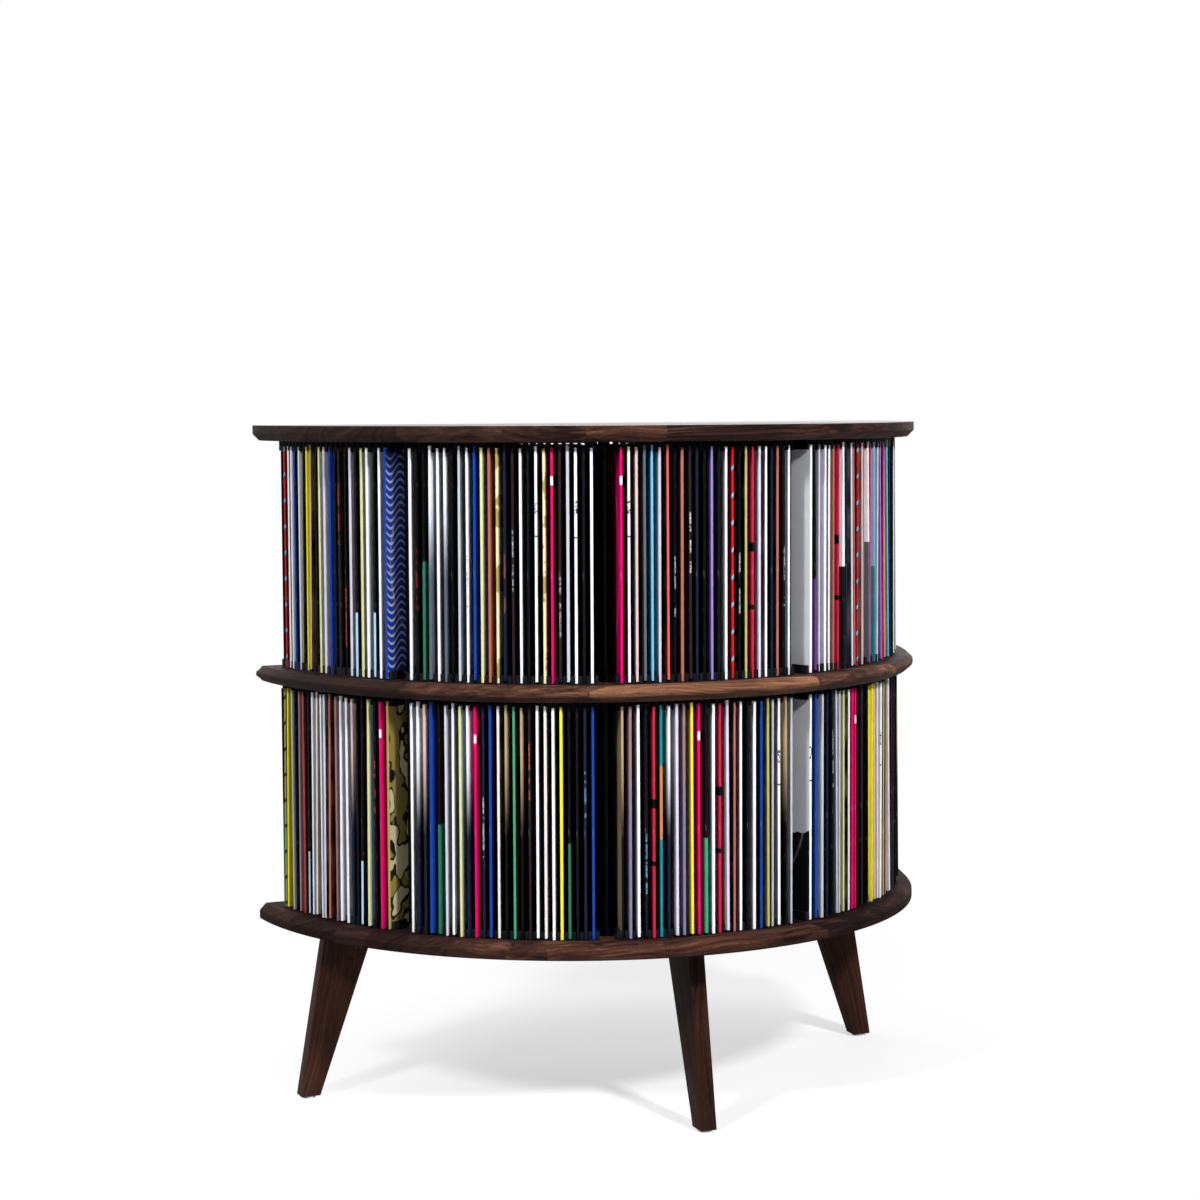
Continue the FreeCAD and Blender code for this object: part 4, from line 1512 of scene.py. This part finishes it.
@dataclass
class Records:
    """The sleeved records: fans that stay, and the records that slide out."""

    plan: RackPlan
    spine_thick: float = 0.0036
    thick_spread: float = 0.0005
    fold: float = 0.0007
    wall: float = 0.0005
    disc_radius: float = 0.1505
    disc_thick: float = 0.0018
    disc_hole: float = 0.0036
    disc_label: float = 0.05
    label_step: float = 0.002
    lead_in: float = 0.004
    rim_bead: float = 0.001
    groove_share: float = 0.8
    rim_share: float = 0.4
    disc_steps: int = 72
    sway: float = math.radians(0.12)
    height_spread: float = 0.004
    lift: float = 0.0035
    seed: int = 12
    loose_chance: float = 0.4
    jut: dict[str, Pair] = field(
        default_factory=lambda: {"upper": (-0.0022, 0.0016), "lower": (0.0018, 0.0018)}
    )

    def build(self) -> None:
        """Builds every fan and every loose record."""
        chance = random.Random(self.seed)
        growth = self.fan_tree()
        # The fans' faces get painted shade, for the dark between the packed sleeves.
        card = PrintedCard(cover=Cover.CLOUDED).material()
        vinyl = PressedVinyl().material()
        for tier in TIERS:
            for sector in SECTORS:
                self.sector(tier, sector, growth, card, vinyl, chance)

    def sector(
        self,
        tier: str,
        sector: int,
        growth: GrowthTree,
        card: bpy.types.Material,
        vinyl: bpy.types.Material,
        chance: random.Random,
    ) -> None:
        """Builds the records of one sector.

        Args:
            tier: The tier's name.
            sector: The sector's number, from the left.
            growth: The tree that grows a fan.
            card: The fan's material.
            vinyl: The discs' material.
            chance: The source of small differences.
        """
        fan = f"records_{tier}_{sector}"
        loose = f"loose_record_{tier}_{sector}"
        standing = [(Slab.read(self.plan, corners), fan) for corners in solids(fan)]
        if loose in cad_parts:
            standing += [(Slab.read(self.plan, corners), loose) for corners in solids(loose)]
        standing.sort(key=lambda item: item[0].bearing)
        looks = [RecordLook.read(words) for words in STOCK[tier, sector].split()]
        if len(looks) != len(standing):
            raise ValueError(f"{fan} has {len(standing)} sleeves and {len(looks)} looks")
        dealt = [(slab, look) for (slab, node), look in zip(standing, looks) if node == fan]
        self.fan(fan, tier, dealt, growth, card, chance)
        for (slab, node), look in zip(standing, looks):
            if node == loose:
                self.loose_record(loose, slab, look, vinyl)

    def fan_tree(self) -> GrowthTree:
        """Builds the tree that stands a folded sleeve on each point.

        Returns:
            The tree.
        """
        sizes = ("Depth", "Height", "Spine", "Mouth", "Fold")
        kinds = dict.fromkeys(sizes, "NodeSocketFloat") | {"Finish": "NodeSocketMaterial"}
        growth = GrowthTree("sleeve_fan", kinds)
        wires, take = growth.wires, growth.take
        outline = wires.node("GeometryNodeCurvePrimitiveQuadrilateral", {
            "Height": take("Depth"),
            "Bottom Width": take("Mouth"),
            "Top Width": take("Spine"),
            "Offset": 0.0,
        }, mode="TRAPEZOID").outputs[0]
        rounded = wires.node("GeometryNodeFilletCurve", {
            "Curve": outline, "Count": 2, "Radius": take("Fold"),
        }, mode="POLY").outputs[0]
        shift = wires.joined(0.0, wires.product(take("Depth"), -0.5), 0.0)
        moved = wires.node("GeometryNodeTransform", {"Geometry": rounded, "Translation": shift}).outputs[0]
        foot = wires.node("GeometryNodeFillCurve", {"Curve": moved}, mode="NGONS").outputs[0]
        raised = wires.node("GeometryNodeExtrudeMesh", {
            "Mesh": foot, "Offset": (0.0, 0.0, 1.0), "Offset Scale": take("Height"), "Individual": False,
        }, mode="FACES").outputs["Mesh"]
        closed = wires.node("GeometryNodeJoinGeometry")
        wires.feed(closed.inputs[0], raised)
        wires.feed(closed.inputs[0], wires.node("GeometryNodeFlipFaces", {"Mesh": foot}).outputs[0])
        sleeve = wires.node("GeometryNodeMergeByDistance", {
            "Geometry": closed.outputs[0], "Distance": SEAM_DISTANCE,
        }).outputs[0]
        spot = wires.node("GeometryNodeInputPosition").outputs[0]
        marked = wires.node("GeometryNodeStoreNamedAttribute", {
            "Geometry": sleeve, "Name": "card", "Value": spot,
        }, data_type="FLOAT_VECTOR", domain="POINT").outputs[0]
        placed = wires.node("GeometryNodeInstanceOnPoints", {
            "Points": take("Geometry"),
            "Instance": marked,
            "Rotation": growth.named_turn(),
            "Scale": growth.named_vector("fit"),
        })
        growth.close(placed.outputs[0])
        return growth

    def fan(
        self,
        node: str,
        tier: str,
        dealt: list[tuple[Slab, RecordLook]],
        growth: GrowthTree,
        card: bpy.types.Material,
        chance: random.Random,
    ) -> None:
        """Builds one fan of standing sleeves.

        Args:
            node: The fan's node.
            tier: The tier's name.
            dealt: Each sleeve's place and look.
            growth: The tree that grows the fan.
            card: The sleeves' material.
            chance: The source of small differences.
        """
        middle, spread = self.jut[tier]
        places, turns, fits, seeds = [], [], [], []
        for slab, _ in dealt:
            lift = max(0.0, chance.uniform(-self.lift, self.lift))
            out = slab.spine + middle + chance.uniform(-spread, spread) + lift
            places.append(self.plan.centre + slab.outward * out + Vector((0.0, 0.0, slab.foot + lift)))
            tilt = math.asin(lift / slab.depth)
            turns.append(Vector((tilt, 0.0, slab.heading + chance.uniform(-self.sway, self.sway))))
            thick = 1.0 + chance.uniform(-self.thick_spread, self.thick_spread) / self.spine_thick
            fits.append(Vector((thick, 1.0, 1.0 - chance.uniform(0.0, self.height_spread))))
            seeds.append(chance.random())
        carrier = point_cloud(f"{node}_places", places, {"turn": turns, "fit": fits})
        self.mark(carrier, [look for _, look in dealt], seeds)
        first = dealt[0][0]
        mesh = growth.grow(carrier, f"{node}_sleeves", {
            "Depth": first.depth, "Height": first.height, "Spine": self.spine_thick, "Mouth": first.thick,
            "Fold": self.fold, "Finish": card,
        })
        add_piece(mesh, RACK, "record_sleeve", node)

    def mark(self, mesh: bpy.types.Mesh, looks: list[RecordLook], seeds: list[float]) -> None:
        """Stores the looks on a mesh's points.

        Args:
            mesh: The mesh.
            looks: The look at each point.
            seeds: The chance at each point.
        """
        kinds = {"board": "FLOAT_COLOR", "ink": "FLOAT_COLOR", "style": "FLOAT", "seed": "FLOAT"}
        for name, kind in kinds.items():
            mesh.attributes.new(name, kind, "POINT")
        layers = mesh.attributes
        for number, look in enumerate(looks):
            layers["board"].data[number].color = look.board.light
            layers["ink"].data[number].color = look.ink.light
            layers["style"].data[number].value = look.style.value
            layers["seed"].data[number].value = seeds[number]

    def loose_record(self, node: str, slab: Slab, look: RecordLook, vinyl: bpy.types.Material) -> None:
        """Builds a record that slides out: its open sleeve and its disc.

        Args:
            node: The record's node, which is also its body.
            slab: The sleeve's place and size.
            look: The sleeve's inks.
            vinyl: The disc's material.
        """
        # The loose records' faces get painted shade.
        finish = PrintedCard(f"card_{node}", COVERS[node], soil=0.05, face_shade=0.4, ring_wear=0.3)
        mesh = mesh_of(self.open_sleeve(slab), f"{node}_sleeve", finish.material())
        count = len(mesh.vertices)
        self.mark(mesh, [look] * count, [self.loose_chance] * count)
        card = mesh.attributes.new("card", "FLOAT_VECTOR", "POINT")
        for item, vert in zip(card.data, mesh.vertices):
            item.vector = vert.co
        mesh.transform(self.stand(slab))
        add_piece(mesh, node, "record_sleeve", node)
        disc = mesh_of(self.disc(slab), f"{node}_disc", vinyl)
        reach = disc.attributes.new("reach", "FLOAT", "POINT")
        hub = Vector((0.0, -slab.depth / 2, slab.height / 2))
        for item, vert in zip(reach.data, disc.vertices):
            item.value = (vert.co - hub).length
        disc.transform(self.stand(slab))
        add_piece(disc, node, "record_sleeve")

    def stand(self, slab: Slab) -> Matrix:
        """Gives the way from a sleeve's own axes to its place.

        Args:
            slab: The sleeve's place.

        Returns:
            The change of place.
        """
        foot = self.plan.centre + slab.outward * slab.spine + Vector((0.0, 0.0, slab.foot))
        return Matrix.Translation(foot) @ Matrix.Rotation(slab.heading, 4, "Z")

    def open_sleeve(self, slab: Slab) -> bmesh.types.BMesh:
        """Folds a sleeve that is open at its inner edge.

        Args:
            slab: The sleeve's size.

        Returns:
            The shape, with its spine's foot at the origin and its depth along minus Y.
        """
        half_mouth = slab.thick / 2
        half_spine = self.spine_thick / 2
        depth, height, fold, wall = slab.depth, slab.height, self.fold, self.wall
        turns = [math.radians(angle) for angle in (0, 30, 60, 90)]
        corner = [(half_spine - fold + fold * math.cos(a), fold * (math.sin(a) - 1)) for a in turns]
        side = [(half_mouth, -depth)] + corner
        outline = side + [(-x, y) for x, y in reversed(side)]
        shape = bmesh.new()
        lower = [shape.verts.new((x, y, 0.0)) for x, y in outline]
        upper = [shape.verts.new((x, y, height)) for x, y in outline]
        for number in range(len(outline) - 1):
            shape.faces.new((lower[number], lower[number + 1], upper[number + 1], upper[number]))
        shape.faces.new(list(reversed(lower)))
        shape.faces.new(upper)
        outer = (lower[0], upper[0], upper[-1], lower[-1])
        inner, roof = half_mouth - wall, height - wall
        mouth_places = ((inner, wall), (inner, roof), (-inner, roof), (-inner, wall))
        mouth = [shape.verts.new((x, -depth, z)) for x, z in mouth_places]
        end = [shape.verts.new((x, -wall - fold, z)) for x, z in mouth_places]
        for first in range(4):
            second = (first + 1) % 4
            shape.faces.new((outer[first], outer[second], mouth[second], mouth[first]))
            shape.faces.new((mouth[first], mouth[second], end[second], end[first]))
        shape.faces.new(end)
        bmesh.ops.recalc_face_normals(shape, faces=shape.faces)
        return shape

    def disc(self, slab: Slab) -> bmesh.types.BMesh:
        """Turns the disc that lies in a sleeve.

        Args:
            slab: The sleeve's size.

        Returns:
            The shape, in the sleeve's own axes.
        """
        half = self.disc_thick / 2
        rim = self.disc_radius
        grooved = half * self.groove_share
        section = [
            (self.disc_hole, half),
            (self.disc_label, half),
            (self.disc_label + self.label_step, grooved),
            (rim - self.lead_in, grooved),
            (rim - self.rim_bead, half),
            (rim, half * self.rim_share),
        ]
        profile = section + [(reach, -x) for reach, x in reversed(section)]
        hub_y, hub_z = -slab.depth / 2, slab.height / 2
        shape = bmesh.new()
        rings = []
        for step in range(self.disc_steps):
            angle = 2 * math.pi * step / self.disc_steps
            aside, upward = math.cos(angle), math.sin(angle)
            rings.append([shape.verts.new((x, hub_y + r * aside, hub_z + r * upward)) for r, x in profile])
        for ring, after in zip(rings, rings[1:] + rings[:1]):
            for first in range(len(profile)):
                second = (first + 1) % len(profile)
                shape.faces.new((ring[first], ring[second], after[second], after[first]))
        bmesh.ops.recalc_face_normals(shape, faces=shape.faces)
        return shape


@dataclass(frozen=True)
class Lamp:
    """One oval lamp of the studio, by its bearing about the rack and its rise above the floor.

    Gloss shows the lamp itself only where it is mirrored.
    """

    name: str
    bearing: float
    rise: float
    reach: float
    width: float
    height: float
    power: float
    mirrored: bool = False
    aim: Triple = (0.0, 0.0, 0.45)

    def build(self) -> None:
        """Hangs the lamp and turns it to its aim."""
        data = bpy.data.lights.new(self.name, "AREA")
        data.shape = "ELLIPSE"
        data.size = self.width
        data.size_y = self.height
        data.energy = self.power
        bearing, rise = math.radians(self.bearing), math.radians(self.rise)
        away = Vector((
            math.cos(rise) * math.cos(bearing), math.cos(rise) * math.sin(bearing), math.sin(rise)
        ))
        lamp = bpy.data.objects.new(self.name, data)
        lamp.location = Vector(self.aim) + away * self.reach
        lamp.rotation_euler = away.to_track_quat("Z", "Y").to_euler()
        lamp.visible_glossy = self.mirrored
        bpy.context.scene.collection.objects.link(lamp)


@dataclass
class Studio:
    """White studio: floor, surround, soft lamps and the camera."""

    camera_place: Triple = (-1.4681, -3.3182, 1.0)
    camera_yaw: float = math.radians(22.823)
    camera_pitch: float = math.radians(4.409)
    camera_roll: float = math.radians(-0.28)
    lens: float = 76.54
    sensor: float = 36.0
    floor_radius: float = 9.0
    floor_steps: int = 96
    floor_clear: float = 0.25
    floor_fade: float = 0.68
    floor_shade: Pair = (0.12, 0.15)
    band_shift: float = 0.04
    band_core: float = 0.2
    band_edge: float = 0.45
    band_start: float = 0.35
    band_full: float = 0.65
    band_length: float = 1.5
    band_share: float = 0.62
    floor_paint: float = 0.5
    floor_seen: float = 0.54
    floor_glow: float = 0.55
    ambient: float = 0.06
    room: float = 0.1
    lamps: tuple[Lamp, ...] = (
        Lamp("key", 278.5, 35.0, reach=4.6, width=0.5, height=0.5, power=190.0),
        Lamp("fill", 213.0, 35.0, reach=4.6, width=0.6, height=0.6, power=140.0),
        Lamp("top", 90.0, 80.0, reach=3.4, width=2.4, height=2.4, power=15.0, mirrored=True),
        Lamp("rim", 64.0, 28.0, reach=4.0, width=2.6, height=0.6, power=16.0, mirrored=True),
        Lamp("side", 345.0, 25.0, reach=4.6, width=2.4, height=2.4, power=35.0),
        Lamp("back", 115.0, 22.0, reach=4.6, width=2.4, height=2.4, power=25.0),
    )

    def build(self) -> None:
        """Sets up the studio."""
        bpy.context.scene.view_settings.view_transform = "Standard"
        self.surround()
        self.floor()
        for lamp in self.lamps:
            lamp.build()
        self.camera()

    def surround(self) -> None:
        """Makes the white surround: bright behind the rack, dimmer on the camera's side."""
        world = bpy.data.worlds.new("white_surround")
        bpy.context.scene.world = world
        world.use_nodes = True
        wires = Wiring(world.node_tree)
        path = wires.node("ShaderNodeLightPath").outputs
        way = wires.node("ShaderNodeTexCoord").outputs["Generated"]
        _, y, _ = wires.parts(way)
        shine = wires.spread(y, -0.5, 0.5, self.room, 1.0)
        mirrored = wires.math("MAXIMUM", path["Is Glossy Ray"], path["Is Transmission Ray"])
        seen = wires.mix(mirrored, (self.ambient,) * 3 + (1.0,), wires.joined(shine, shine, shine))
        white = wires.mix(path["Is Camera Ray"], seen, WHITE)
        wires.feed(world.node_tree.nodes["Background"].inputs["Color"], white)

    def floor(self) -> None:
        """Lays a pale floor that fades into the white surround."""
        material = bpy.data.materials.new("pale_floor")
        material.use_nodes = True
        wires = Wiring(material.node_tree)
        place = wires.place()
        x, y, _ = wires.parts(place)
        aside = wires.math("SUBTRACT", x, self.floor_shade[0])
        behind = wires.math("SUBTRACT", y, self.floor_shade[1])
        camera = wires.node("ShaderNodeLightPath").outputs["Is Camera Ray"]
        fade = wires.spread(wires.length(aside, behind), self.floor_clear, self.floor_fade, 0.0, 1.0)
        far = wires.product(fade, self.behind_rack(wires, aside, behind), camera)
        shade = wires.spread(camera, 0.0, 1.0, self.floor_paint, self.floor_seen)
        paint = wires.node("ShaderNodeBsdfDiffuse", {"Color": wires.joined(shade, shade, shade)}).outputs[0]
        lift = wires.product(camera, self.floor_glow)
        lifted = wires.node("ShaderNodeEmission", {"Color": WHITE, "Strength": lift}).outputs[0]
        paint = wires.node("ShaderNodeAddShader", {0: paint, 1: lifted}).outputs[0]
        glow = wires.node("ShaderNodeEmission", {"Color": WHITE, "Strength": 1.0}).outputs[0]
        mixed = wires.node("ShaderNodeMixShader", {0: far, 1: paint, 2: glow}).outputs[0]
        wires.feed(material.node_tree.nodes["Material Output"].inputs["Surface"], mixed)
        shape = bmesh.new()
        bmesh.ops.create_circle(shape, cap_ends=True, radius=self.floor_radius, segments=self.floor_steps)
        mesh = mesh_of(shape, "floor", material)
        ground = bpy.data.objects.new("floor", mesh)
        bpy.context.scene.collection.objects.link(ground)

    def behind_rack(self, wires: Wiring, aside: Plug, behind: Plug) -> Plug:
        """Keeps the floor's shade in a band that runs back under the rack.

        Args:
            wires: The wiring of the floor's tree.
            aside: Place along X from the middle of the shade.
            behind: Place along Y from the middle of the shade.

        Returns:
            How far the floor may fade, less in the band.
        """
        turn_x, turn_y = math.sin(self.camera_yaw), math.cos(self.camera_yaw)
        along = wires.total(wires.product(aside, turn_x), wires.product(behind, turn_y))
        across = wires.total(wires.product(aside, turn_y), wires.product(behind, -turn_x), -self.band_shift)
        off = wires.math("ABSOLUTE", across)
        band = wires.product(
            wires.spread(off, self.band_core, self.band_edge, self.band_share, 0.0),
            wires.spread(along, self.band_start, self.band_full, 0.0, 1.0),
            wires.spread(along, self.band_length / 2, self.band_length, 1.0, 0.0),
        )
        return wires.math("SUBTRACT", 1.0, band)

    def camera(self) -> None:
        """Sets the camera where the photograph was taken."""
        data = bpy.data.cameras.new("camera")
        data.sensor_width = self.sensor
        data.lens = self.lens
        camera = bpy.data.objects.new("camera", data)
        level = math.pi / 2
        camera.matrix_world = (
            Matrix.Translation(self.camera_place)
            @ Matrix.Rotation(-self.camera_yaw, 4, "Z")
            @ Matrix.Rotation(level - self.camera_pitch, 4, "X")
            @ Matrix.Rotation(self.camera_roll, 4, "Z")
        )
        bpy.context.scene.collection.objects.link(camera)
        bpy.context.scene.camera = camera


def main() -> None:
    """Builds the rack's looks in order."""
    logging.basicConfig(level=logging.INFO, format="%(name)s: %(message)s")
    plan = RackPlan.read()
    Woodwork(plan).build()
    Fittings().build()
    Records(plan).build()
    Studio().build()


if __name__ == "__main__":
    main()
